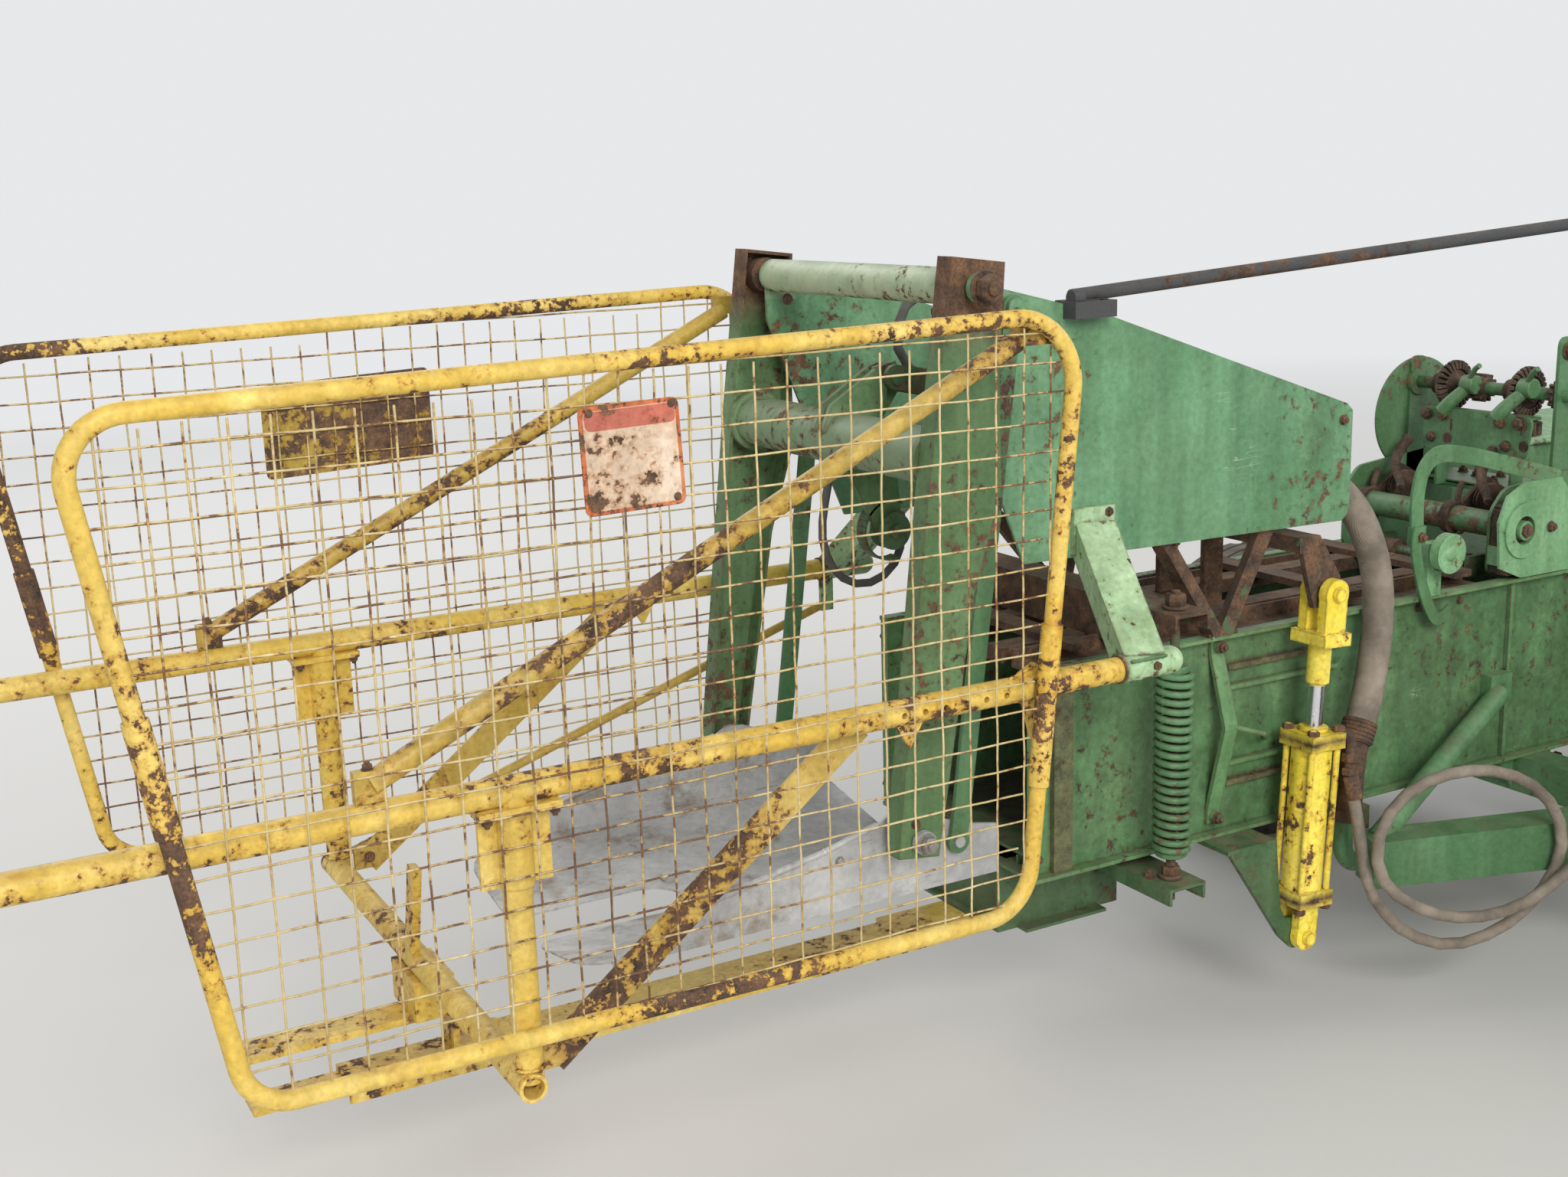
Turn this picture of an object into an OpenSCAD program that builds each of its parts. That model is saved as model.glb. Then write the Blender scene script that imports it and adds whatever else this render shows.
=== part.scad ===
// Small square baler with a swinging bale thrower.
// X runs forward, Y to the machine's left, Z up, ground at zero. Millimetres.

/* [Whole machine] */
// Height of the cage rails above the ground
rail_z = 860; // [780:5:950]

/* [Bale case] */
// Inside width of the bale case
case_w = 458; // [400:1:520]
// Height of the bale case outside
case_h = 398; // [360:1:440]
// Underside of the bale case above the ground
case_z = 405; // [350:1:450]
// Rear end of the bale case
case_x0 = 1445; // [1400:5:1600]
// Front end of the plunger case
case_x1 = 4250; // [4000:10:4500]
// Wall sheet thickness
wall = 6; // [3:1:10]
// Rear edge of the feed opening in the right wall
feed_x0 = 3170; // [3100:10:3300]
// Length of the feed opening
feed_len = 540; // [400:10:650]

/* [Ejector] */
// Pivot of the swing arms, forward
piv_x = 1247; // [1200:1:1300]
// Pivot of the swing arms, height
piv_z = 1483; // [1400:1:1550]
// Lower end of the swing arms, forward
arm_x = 1131; // [1080:1:1200]
// Lower end of the swing arms, height
arm_z = 589; // [540:1:640]
// Inner face of the swing arm channels
arm_y = 320; // [300:1:360]
// Depth of the swing arm channels
arm_t = 40; // [30:1:60]
// Offset of the follower links, forward
link_dx = 110; // [90:1:140]
// Offset of the follower links, height
link_dz = -40; // [-60:1:0]
// Side plate distance from the centre line
plate_y = 290; // [270:1:310]
// Side plate thickness
plate_t = 6; // [4:1:10]
// Torque tube radius
torque_r = 47; // [40:1:55]

/* [Cage] */
// Distance from the centre line to each cage rail
rail_y = 484; // [460:1:500]
// Radius of the cage rails
rail_r = 21; // [18:0.5:26]
// Radius of the screen frame tubes
frame_r = 13.5; // [12:0.5:18]
// Mesh pitch along the machine
mesh_x = 50.8; // [40:0.1:60]
// Mesh pitch up the screen
mesh_z = 45; // [40:0.1:60]
// Mesh wire thickness
mesh_t = 3; // [2:0.5:4]
// Rear end of the cage rails
rail_x0 = -400; // [-500:10:-300]

/* [Bale tension] */
// Spring and cross channel position, forward
spring_x = 1703; // [1680:1:1740]
// Spring distance from the centre line
spring_y = 322; // [300:1:340]
// Spring coil mean radius
coil_r = 30; // [25:0.5:35]
// Spring wire radius
wire_r = 6.2; // [5:0.1:7]
// Spring coil pitch
coil_pitch = 17.5; // [14:0.1:20]
// Number of coils
coils = 19; // [15:1:22]
// Lower pin of the tension cylinders, forward
cyl_x = 2030; // [2000:1:2060]
// Cylinder distance from the centre line
cyl_y = 320; // [300:1:340]
// Height of the cylinder's lower pin
cyl_z0 = 195; // [180:1:220]
// Height of the rod's pin
cyl_z1 = 873; // [850:1:900]
// Lean of the cylinders: the rod's pin ahead of the lower pin
cyl_lean = 39; // [20:1:45]
// Top of the upper cross channel above the hinge
seat_up = 81; // [70:1:90]
// Hinge of the upper tension rails, forward
hinge_x = 2700; // [2650:5:2750]
// Hinge of the upper tension rails above the case
hinge_up = 9; // [6:1:14]

/* [Running gear] */
// Axle position, forward
axle_x = 2780; // [2700:5:2900]
// Wheel centre height and tyre radius
wheel_r = 365; // [340:1:390]
// Left wheel centre
left_y = 560; // [500:5:650]
// Right wheel centre
right_y = -1700; // [-1800:5:-1600]

/* [Pickup] */
// Gap from the case wall to the inner end of the pickup
pick_gap = 65; // [55:5:100]
// Outer end of the pickup
pick_y1 = -1700; // [-1800:5:-1500]
// Reel centre, forward
reel_x = 4020; // [3950:5:4100]
// Reel centre, height
reel_z = 410; // [380:5:450]
// Number of tines along one bar
tines = 19; // [12:1:24]
// Number of tine bars
tine_bars = 4; // [4:1:6]

/* [Drive] */
// Flywheel position, forward
fly_x = 4760; // [4700:5:4900]
// Flywheel and shaft height
fly_z = 800; // [750:5:850]
// Flywheel radius
fly_r = 350; // [320:5:400]
// Hitch pin position, forward
hitch_x = 6150; // [6000:10:6300]
// Tongue swing pin position, forward
swing_x = 4150; // [4100:5:4200]

/* [Hidden] */
$fn = 48;
mid_x = (rail_x0 + hitch_x + 45) / 2;
mid_y = (left_y + 130 + right_y - 100) / 2;
case_in = case_w / 2;
case_out = case_in + wall;
case_top_z = case_z + case_h;
hinge_z = case_top_z + hinge_up;
pick_y0 = -case_out - pick_gap;
arm_out = arm_y + arm_t;
arm_dx = arm_x - piv_x;
arm_dz = arm_z - piv_z;
arm_len = sqrt(arm_dx * arm_dx + arm_dz * arm_dz);
arm_tilt = atan2(arm_dx, -arm_dz);
torque_s = 275 / arm_len;
torque_x = piv_x + arm_dx * torque_s;
torque_z = piv_z + arm_dz * torque_s;
coil_z0 = 418;
seat_z = hinge_z + seat_up;
cyl_x1 = cyl_x + cyl_lean;
cyl_tilt = atan2(cyl_lean, cyl_z1 - cyl_z0);
cyl_top = cyl_z0 + norm([cyl_lean, cyl_z1 - cyl_z0]);
sleeve_r = frame_r + 3.5;
cage_y = rail_y + rail_r + sleeve_r + 0.3;
post_x = 386;
cross_z = 430;
pan_half = plate_y + 7;
pan_lean = 11;
knot_x = 2880;
knot_z = 1163;
green = [0.16, 0.42, 0.22];
yellow = [0.93, 0.78, 0.16];
rust = [0.36, 0.24, 0.17];
steel = [0.72, 0.73, 0.74];
dark = [0.13, 0.13, 0.13];

// Helpers

module place() { translate([-mid_x, -mid_y, 0]) children(); }

module rod(a, b, r) {
  v = b - a;
  l = norm(v);
  translate(a) rotate([0, acos(v[2] / l), atan2(v[1], v[0])]) cylinder(h = l, r = r);
}

module bar(a, b, w, h, roll = 0) {
  v = b - a;
  l = norm(v);
  translate(a) rotate([0, acos(v[2] / l), atan2(v[1], v[0])]) rotate([0, 0, roll])
    translate([-h / 2, -w / 2, 0]) cube([h, w, l]);
}

module run(pts, r) {
  for (i = [0 : len(pts) - 2]) rod(pts[i], pts[i + 1], r);
  for (i = [1 : len(pts) - 2]) translate(pts[i]) sphere(r = r * 1.15);
}

module sheet(pts, y0, t) {
  translate([0, y0 + t, 0]) rotate([90, 0, 0]) linear_extrude(height = t) polygon(pts);
}

module pin_y(x, y0, y1, z, r) {
  translate([x, y0, z]) rotate([-90, 0, 0]) cylinder(h = y1 - y0, r = r);
}

module box(x0, x1, y0, y1, z0, z1) {
  translate([x0, y0, z0]) cube([x1 - x0, y1 - y0, z1 - z0]);
}

module both() { children(); mirror([0, 1, 0]) children(); }

function unit(v) = v / norm(v);
function arm_shape(m) = [[-50 + m, 44 - m], [52 - m, 44 - m], [62 - m, -120], [90 - m, -310], [58 - m, -490],
  [40 - m, -arm_len - 30 + m], [-40 + m, -arm_len - 30 + m], [-48 + m, -490], [-50 + m, -310]];
function level(a, b, z) = a + (b - a) * (z - a[2]) / (b[2] - a[2]);
function turn(a, b, c) = acos(unit(a - b) * unit(c - b)) / 2;
function tangent(a, b, c, r) = b + unit(a - b) * r / tan(turn(a, b, c));

module corner(a, b, c, r, tube) {
  m = b + unit(unit(a - b) + unit(c - b)) * r / sin(turn(a, b, c));
  p = tangent(a, b, c, r) - m;
  q = tangent(c, b, a, r) - m;
  ap = atan2(p[2], p[0]);
  aq = atan2(q[2], q[0]);
  d = ap - aq < 0 ? ap - aq + 360 : ap - aq;
  translate(m) rotate([90, 0, 0]) rotate([0, 0, aq]) rotate_extrude(angle = d) translate([r, 0]) circle(r = tube);
}

// Bale case

module wall_sheet(feed) {
  difference() {
    union() {
      box(case_x0, case_x1, case_in, case_out, case_z, case_top_z);
      box(case_x0, case_x1, case_in, case_out + 22, case_top_z - 8, case_top_z);
      box(case_x0, case_x1, case_in, case_out + 22, case_z, case_z + 8);
      box(case_x0, case_x0 + 8, case_in, case_out + 18, case_z, case_top_z);
      box(2686, 2698, case_in, case_out + 10, case_z, case_top_z);
      box(case_x1 - 10, case_x1, case_in, case_out + 30, case_z, case_top_z);
      for (z = [500, 540, 690, 730]) box(1905, 2190, case_out - 1, case_out + 12, z, z + 10);
      for (x = [3100, 3780, 4050]) box(x, x + 12, case_in, case_out + 14, case_z, case_top_z);
    }
    if (feed) box(feed_x0, feed_x0 + feed_len, case_in - 5, case_out + 40, case_z + 30, case_top_z - 26);
  }
}

module case_right() color(green) place() mirror([0, 1, 0]) {
  wall_sheet(true);
  box(1493, 1535, case_out - 1, case_out + 12, case_z - 2, case_top_z);
  translate([1862, 0, 0]) rotate([90, 0, 90]) linear_extrude(height = 32)
    polygon([for (q = [[-1, 794], [8, 794], [8, 768], [50, 636], [50, 626], [8, 456], [8, 430], [-1, 430], [-1, 454], [42, 631],
      [-1, 770]]) [case_out + q[0], q[1]]]);
  for (z = [443, 781]) pin_y(1878, case_out + 4, case_out + 18, z, 11);
  run([[1888, case_out + 46, 630], [1960, case_out + 50, 605], [2010, case_out + 4, 577]], 5);
}

module case_left() color(green) place() {
  wall_sheet(false);
  box(1493, 1535, case_out - 1, case_out + 12, case_z - 2, case_top_z);
}

module case_floor() color(green) place() {
  box(case_x0 + 40, case_x1, -case_in + 0.5, case_in - 0.5, case_z + 16, case_z + 22);
  both() box(case_x0 + 40, case_x1, 60, 66, case_z, case_z + 17);
  box(2190, 2250, -288, 350, 356.2, 404.5);
  for (x = [1760, 2450, 3060, 3650]) box(x, x + 40, -case_in + 0.5, case_in - 0.5, case_z, case_z + 17);
  box(4130, 4240, -case_in - 40, case_in + 40, 380, 404.5);
}

module case_top() color(green) place() {
  difference() {
    union() {
      box(2720, case_x1, -case_in + 0.5, case_in - 0.5, case_top_z - 14, case_top_z - 8);
      for (x = [3080, 3420, 3760, 4100]) box(x, x + 40, -case_in + 0.5, case_in - 0.5, case_top_z - 9, case_top_z + 19);
    }
    both() box(2770, 2960, 100, 130, case_top_z - 23, case_top_z + 27);
  }
  both() box(2668, 2765, 136, 148, case_top_z - 13.5, hinge_z + 22);
  pin_y(hinge_x - 10, -148, 148, hinge_z, 13);
}

module rear_frame() color(green) place() {
  difference() {
    union() {
      box(spring_x - 42, spring_x + 42, -spring_y - 48, spring_y + 48, 378, 384);
      box(spring_x - 42, spring_x - 36, -spring_y - 48, spring_y + 48, 352, 384);
      box(spring_x + 36, spring_x + 42, -spring_y - 48, spring_y + 48, 352, 384);
    }
    both() translate([spring_x, spring_y, 370]) cylinder(h = 30, r = 10.5);
  }
  both() {
    box(1480, 1740, 150, 156, 383, 420.7);
    box(1455, 1740, 120, 126, 262, 404);
    box(1455, 1740, 120, 200, 398, 404);
    box(1500, 1690, 30, 156, 262, 268);
  }
  box(1455, 1690, -126, 126, 262, 268);
  for (x = [1470, 1660]) box(x, x + 8, -126, 126, 264, 404);
  box(1502, 1640, -30, 30, 226, 264);
  box(1470, 1503, -30, 30, 226, 254.7);
  both() {
    difference() {
      sheet([[1840, 404.5], [1962, 404.5], [1978, 262], [1990, 238], [2050, 226], [2060, 195], [2048, 170], [2012, 170], [1980, 200]],
        cyl_y - 6, 12);
      pin_y(cyl_x, cyl_y - 20, cyl_y + 20, cyl_z0, 12.55);
    }
    box(1840, 1962, case_in - 20, cyl_y + 6, 396, 404.5);
  }
}

// Bale tension

module tension_rails() color(rust) place() {
  difference() {
    union() {
      both() {
        box(1470, hinge_x, 70, 120, hinge_z - 28, hinge_z);
        box(1470, hinge_x - 60, 150, 158, hinge_z - 26, hinge_z + 6);
        box(1470, hinge_x - 60, 150, 200, hinge_z - 28, hinge_z - 22);
      }
      for (x = [1560, 1900, 2250, 2560]) box(x, x + 50, -205, 205, hinge_z - 1, hinge_z + 13);
      box(spring_x - 40, spring_x + 40, -spring_y - 46, spring_y + 46, seat_z - 6, seat_z);
      for (x = [spring_x - 40, spring_x + 34]) {
        box(x, x + 6, -220, 220, hinge_z - 1, seat_z);
        both() box(x, x + 6, 200, spring_y + 46, seat_z - 33, seat_z);
      }
      both() {
        sheet([for (q = [[-72, 985], [-22, 985], [34, 900], [34, 846], [-32, 846], [-50, 905]]) [cyl_x1 + q[0], q[1]]],
          cyl_y - 6, 12);
        box(cyl_x1 - 72, cyl_x1 - 24, 60, cyl_y + 6, 955, 985);
        box(cyl_x1 - 72, cyl_x1 - 24, 60, 72, hinge_z - 1, 985);
        pin_y(hinge_x - 10, 60, 130, hinge_z, 24);
      }
    }
    both() translate([spring_x, spring_y, seat_z - 52]) cylinder(h = 80, r = 13.5);
    both() pin_y(cyl_x1, cyl_y - 40, cyl_y + 30, cyl_z1, 15);
    pin_y(hinge_x - 10, -140, 140, hinge_z, 13.05);
  }
}

module tension_spring() color(green) place() both() translate([spring_x, spring_y, 0]) {
  rotate_extrude() {
    translate([0, coil_z0 + 6]) square([coil_r - wire_r + 0.6, 350]);
    translate([0, coil_z0 + 354]) square([24, 18]);
    translate([0, coil_z0 + 370]) square([9, seat_z + 34 - coil_z0 - 370]);
    translate([0, seat_z + 1]) square([19, 6]);
    translate([0, 340]) square([9.5, 86]);
    translate([0, 384.5]) square([22, 7]);
    for (i = [0 : coils - 1]) translate([coil_r, coil_z0 + 34 + i * coil_pitch]) circle(r = wire_r);
  }
  translate([0, 0, seat_z + 6.5]) cylinder(h = 22, r = 16, $fn = 6);
}

module fork(w, t, r, gap, depth) {
  for (s = [-1, 1]) translate([0, s * (gap / 2 + t / 2) - t / 2, 0]) {
    translate([0, 0, 0]) rotate([-90, 0, 0]) cylinder(h = t, r = r);
    translate([-w / 2, 0, -depth]) cube([w, t, depth]);
  }
}

module lean() translate([cyl_x, cyl_y, cyl_z0]) rotate([0, cyl_tilt, 0]) translate([0, 0, -cyl_z0]) children();

module tension_barrel() color(yellow) place() both() lean() {
  difference() {
    union() {
      translate([0, 0, 290]) cylinder(h = 305, r = 38);
      for (z = [262, 575]) translate([-43, -43, z]) cube([86, 86, 30]);
      for (x = [-33, 33], y = [-33, 33]) translate([x, y, 255]) cylinder(h = 360, r = 6);
      translate([0, 0, 600]) cylinder(h = 14, r = 27);
      translate([0, 0, cyl_z0]) rotate([180, 0, 0]) fork(50, 18, 26, 16, 75);
    }
    translate([0, 0, 300]) cylinder(h = 330, r = 16.05);
  }
  translate([0, -38, cyl_z0]) rotate([-90, 0, 0]) cylinder(h = 76, r = 12.5);
}

module tension_rod() color(steel) place() both() lean() {
  translate([0, 0, 330]) cylinder(h = 430, r = 16);
  translate([0, 0, 700]) cylinder(h = 80, r = 22);
  translate([-34, -44, 776]) cube([68, 88, 24]);
  translate([0, 0, cyl_top]) fork(54, 20, 29, 28, 80);
  for (s = [-1, 1]) translate([0, s * 38 - 6, cyl_top]) rotate([-90, 0, 0]) cylinder(h = 12, r = 13);
}

// Ejector

module side_plates() color(green) place() {
  both() {
    sheet([[1228, 1500], [1300, 1485], [1560, 1420], [2135, 1220], [2150, 1206], [2150, 1014], [2132, 998],
      [1390, 1010], [1228, 1400]], plate_y, plate_t);
    box(1560, 2120, plate_y - 26, plate_y + 1, 1008, 1016);
  }
  pin_y(piv_x, -plate_y - 5, plate_y + 5, piv_z, 30);
  both() {
    pin_y(piv_x, plate_y, arm_out + 20, piv_z, 16);
    pin_y(piv_x, arm_out + 8, arm_out + 24, piv_z, 24);
    pin_y(piv_x + link_dx, plate_y, plate_y + 27, piv_z + link_dz, 10);
    pin_y(piv_x + link_dx, plate_y + 24, plate_y + 30, piv_z + link_dz, 16);
  }
  pin_y(2010, -plate_y - 5, plate_y + 5, 1150, 30);
  for (s = [-1, 1]) translate([0, s * 34 - 6, 0]) difference() {
    hull() { pin_y(2010, 0, 12, 1150, 40); pin_y(1925, 0, 12, 1175, 30); }
    pin_y(1925, -1, 13, 1175, 12.55);
  }
}

module plate_feet() color(rust) place() both() {
  difference() {
    union() {
      bar([1700, plate_y - 16, 1020], [1874, case_out + 7, case_top_z - 8], 30, 26);
      bar([1965, plate_y - 16, 1020], [1886, case_out + 7, case_top_z - 8], 30, 26);
    }
    box(1600, 2060, 200, 300, 1007.7, 1060);
    box(1800, 1960, 200, 300, case_top_z - 40, case_top_z + 0.3);
  }
  box(1845, 1915, case_out - 4, case_out + 21, case_top_z + 0.3, case_top_z + 7);
}

module rail_brackets() color(green) place() {
  both() {
    difference() {
      union() {
        bar([1533, plate_y + 4, 1052], [1485, rail_y, rail_z + 5], 74, 50);
        rod([1437, rail_y, rail_z], [1546, rail_y, rail_z], rail_r + 3);
        translate([1546, rail_y, rail_z]) sphere(r = rail_r + 3);
      }
      rod([1420, rail_y, rail_z], [1540, rail_y, rail_z], rail_r - 3.9);
      box(1300, 1700, plate_y - 60, plate_y + plate_t + 0.3, 900, 1300);
    }
    box(1488, 1578, plate_y + plate_t + 0.3, plate_y + plate_t + 8.3, 1014, 1094);
  }
  box(1440, 1470, rail_y - 4, rail_y + 4, 770, rail_z - 18);
}

module swing_arms() color(green) place() {
  difference() {
    union() {
      both() translate([piv_x, arm_y, piv_z]) rotate([0, -arm_tilt, 0]) {
        difference() {
          translate([0, arm_t, 0]) rotate([90, 0, 0]) linear_extrude(height = arm_t) polygon(arm_shape(0));
          translate([0, arm_t - 6, 0]) rotate([90, 0, 0]) linear_extrude(height = arm_t) polygon(arm_shape(6));
        }
        pin_y(0, 0, arm_t, 0, 32);
        pin_y(0, 0, arm_t, -arm_len, 30);
      }
      pin_y(torque_x, -arm_out + 3, arm_out - 3, torque_z, torque_r);
      both() pin_y(torque_x, arm_y - 12, arm_y, torque_z, torque_r + 10);
    }
    pin_y(piv_x, -500, 500, piv_z, 16.05);
    pin_y(arm_x, -500, 500, arm_z, 12.05);
  }
  for (s = [-1, 1]) translate([0, s * 15 - 6, 0])
    sheet([[torque_x - 50, torque_z + 20], [torque_x - 30, torque_z + 62], [torque_x + 62, torque_z + 118],
      [torque_x + 88, torque_z + 96], [torque_x + 55, torque_z - 35], [torque_x, torque_z - 52]], 0, 12);
  difference() {
    sheet([[torque_x + 20, torque_z], [torque_x + 70, torque_z + 120], [torque_x + 112, torque_z + 128],
      [torque_x + 128, torque_z + 90], [torque_x + 40, torque_z - 30]], -6, 12);
    pin_y(torque_x + 96, -8, 8, torque_z + 102, 22);
  }
  sheet([[torque_x - 16, torque_z - 15], [torque_x + 108, torque_z - 46], [torque_x + 122, torque_z - 176],
    [torque_x + 108, torque_z - 194], [torque_x + 76, torque_z - 190]], -6, 12);
}

module pan_links() color(green) place() both() difference() {
  union() {
    bar([piv_x + link_dx, plate_y + 18, piv_z + link_dz], [arm_x + link_dx, plate_y + 18, arm_z + link_dz], 8, 34);
    pin_y(piv_x + link_dx, plate_y + 14, plate_y + 22, piv_z + link_dz, 21);
    pin_y(arm_x + link_dx, plate_y + 14, plate_y + 22, arm_z + link_dz, 21);
  }
  pin_y(piv_x + link_dx, plate_y, plate_y + 40, piv_z + link_dz, 10.05);
  pin_y(arm_x + link_dx, plate_y, plate_y + 40, arm_z + link_dz, 10.05);
}

module pan_wing() {
  w = (pan_half - 60) / cos(pan_lean);
  translate([0, 60, 430]) rotate([pan_lean, 0, 0]) linear_extrude(height = 4)
    polygon(concat([[1330, 0], [1330, w]],
      [for (a = [90 : 15 : 180]) [645 + 85 * cos(a), w - 85 + 85 * sin(a)]],
      [for (a = [180 : 15 : 270]) [602 + 42 * cos(a), 42 + 42 * sin(a)]]));
}

module pan() color(steel) place() {
  difference() {
    box(800, 1330, -60.5, 60.5, 430, 434);
    translate([800, 0, 420]) cylinder(h = 20, r = 60);
  }
  both() {
    pan_wing();
    for (y = [70, 200]) translate([868, y, 431 + (y - 60) * tan(pan_lean)]) cylinder(h = 13, r = 13, $fn = 6);
    sheet([[600, 472], [600, 484], [710, 530], [860, 560], [984, 580], [1085, 606], [1112, 622], [1150, 618], [1262, 574], [1330, 560],
      [1330, 472]], plate_y + 4, 6);
    run([[604, pan_half, 482], [710, pan_half, 530], [984, pan_half, 580], [1085, pan_half, 606]], 5.5);
    pin_y(arm_x, plate_y + 6, arm_out + 14, arm_z, 12);
    pin_y(arm_x, plate_y + 4, arm_y - 1, arm_z, 27);
    pin_y(arm_x + link_dx, plate_y + 5, plate_y + 26, arm_z + link_dz, 10);
    pin_y(arm_x, arm_out + 5, arm_out + 17, arm_z, 20);
  }
}

module throw_barrel() color(green) place() {
  a = atan2(torque_z + 102 - 1175, torque_x + 96 - 1925);
  translate([1925, 0, 1175]) rotate([0, -a, 0]) difference() {
    union() {
      pin_y(0, -27, 27, 0, 28);
      translate([0, -20, -20]) cube([50, 40, 40]);
      translate([45, 0, 0]) rotate([0, 90, 0]) cylinder(h = 375, r = 34);
      translate([400, 0, 0]) rotate([0, 90, 0]) cylinder(h = 34, r = 39);
    }
    pin_y(0, -60, 60, 0, 12.05);
    translate([60, 0, 0]) rotate([0, 90, 0]) cylinder(h = 400, r = 17.05);
  }
  pin_y(1925, -48, 48, 1175, 12);
}

module throw_rod() color(steel) place() {
  a = atan2(torque_z + 102 - 1175, torque_x + 96 - 1925);
  l = norm([torque_z + 102 - 1175, torque_x + 96 - 1925]);
  translate([1925, 0, 1175]) rotate([0, -a, 0]) {
    translate([70, 0, 0]) rotate([0, 90, 0]) cylinder(h = l - 130, r = 17);
    translate([l - 72, -34, -24]) cube([22, 68, 48]);
    for (s = [-1, 1]) {
      translate([l - 52, s * 29 - 5, -22]) cube([52, 10, 44]);
      pin_y(l, s * 29 - 5, s * 29 + 5, 0, 22);
      pin_y(l, s * 36 - 4, s * 36 + 4, 0, 13);
    }
  }
}

// Cage

module cage_rails() color(yellow) place() {
  both() {
    difference() {
      rod([rail_x0, rail_y, rail_z], [1436.7, rail_y, rail_z], rail_r);
      rod([rail_x0 - 1, rail_y, rail_z], [rail_x0 + 60, rail_y, rail_z], 17);
      for (i = [0 : 5]) translate([1010 + i * 38, rail_y, rail_z]) rotate([90, 0, 0]) cylinder(h = 60, r = 5, center = true);
    }
    rod([1400, rail_y, rail_z], [1530, rail_y, rail_z], rail_r - 4);
    translate([post_x, rail_y, cross_z]) cylinder(h = rail_z - cross_z, r = rail_r);
    translate([post_x, rail_y, 724]) cylinder(h = 106, r = rail_r + 5);
    box(330, 450, rail_y - 27, rail_y + 27, rail_z - rail_r - 8, rail_z - rail_r + 2);
    box(334, 438, rail_y - 4, rail_y + 4, 724, rail_z - rail_r - 4);
    sheet([[1216, 864], [1238, 886], [1266, 900], [1278, 892], [1262, 772], [1244, 838]], rail_y - 4, 8);
    sheet([[1000, 850], [1060, 850], [1030, 800]], rail_y - 4, 8);
  }
  difference() {
    rod([post_x - 6, -rail_y - 31, cross_z], [post_x - 6, rail_y + 31, cross_z], rail_r);
    both() rod([post_x - 6, rail_y - 14, cross_z], [post_x - 6, rail_y + 40, cross_z], 16);
  }
  bar([371, 0, cross_z + 10], [386, 0, 588], 35, 14);
  box(352, 420, -60, 60, 345.3, cross_z - 14);
}

function screen_corners(y) = [[-150, y, 555 + rail_z], [1325, y, 588 + rail_z], [1226, y, -360 + rail_z], [-4, y, -345 + rail_z]];

module cage_screens() color(yellow) place() both() {
  y = cage_y;
  c = screen_corners(y);
  rr = [75, 105, 85, 70];
  for (k = [0 : 3]) {
    a = c[(k + 3) % 4];
    d = c[(k + 2) % 4];
    b = c[k];
    e = c[(k + 1) % 4];
    corner(a, b, e, rr[k], frame_r);
    g = 0.03 * unit(a - b);
    rod(tangent(a, b, e, rr[k]) + g, tangent(b, a, d, rr[(k + 3) % 4]) - g, frame_r);
  }
  rod(level(c[1], c[2], 968), level(c[1], c[2], 709), sleeve_r);
  rod(level(c[0], c[3], 1050), level(c[0], c[3], 900), sleeve_r);
}

module cage_mesh() color(yellow) place() both() {
  y = cage_y;
  c = screen_corners(y);
  o = [for (q = c) [q[0], q[2]]];
  translate([0, y + 0.2 + mesh_t, 0]) rotate([90, 0, 0]) linear_extrude(height = mesh_t) intersection() {
    polygon(o);
    for (i = [-2 : 26]) translate([i * mesh_x - mesh_t / 2, 0]) square([mesh_t, 2000]);
  }
  translate([0, y - 0.2, 0]) rotate([90, 0, 0]) linear_extrude(height = mesh_t) intersection() {
    polygon(o);
    for (i = [-8 : 12]) translate([-300, rail_z + 12 + i * mesh_z]) square([2000, mesh_t]);
  }
}

module sign_plates() color([0.86, 0.84, 0.78]) place() {
  sheet([[500, 1228], [648, 1232], [641, 1378], [495, 1374]], -cage_y - mesh_t - 4.5, 4);
  sheet([[330, 1160], [640, 1172], [640, 1340], [330, 1328]], cage_y + mesh_t + 0.5, 4);
}

module cage_braces() color(yellow) place() {
  both() {
    rod([195, rail_y + 2, 906], [1236, rail_y + 2, 1409], 16.5);
    box(172, 214, rail_y - 8, rail_y + 8, rail_z + rail_r + 0.3, 925);
    box(1222, 1288, rail_y + 8, cage_y - frame_r - 0.3, 1402, 1436);
    bar([955, rail_y - 26, 846], [430, rail_y - 26, 437], 6, 52);
    box(915, 995, rail_y - 30, rail_y - rail_r - 0.3, 838, 866);
    box(post_x + rail_r + 0.3, post_x + 64, rail_y - 30, rail_y - rail_r - 0.3, 425, 470);
  }
  rod([post_x + rail_r + 6, rail_y, 452], [1436.8, rail_y, 780], 9);
}

module wagon_hitch() color(yellow) place() {
  difference() {
    box(240, 1500, -40, 40, 226, 262);
    box(230, 1510, -33, 33, 220, 255);
  }
  box(1300, 1480, -60, 60, 255, 261.7);
  difference() {
    union() {
      box(90, 560, -30, 30, 243, 255);
      box(420, 560, -30, 30, 262, 274);
      box(420, 432, -30, 30, 264, 345);
      box(90, 432, -30, 30, 333, 345);
    }
    translate([125, 0, 200]) cylinder(h = 200, r = 13);
  }
  translate([500, 0, 236]) cylinder(h = 52, r = 10);
}

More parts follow.
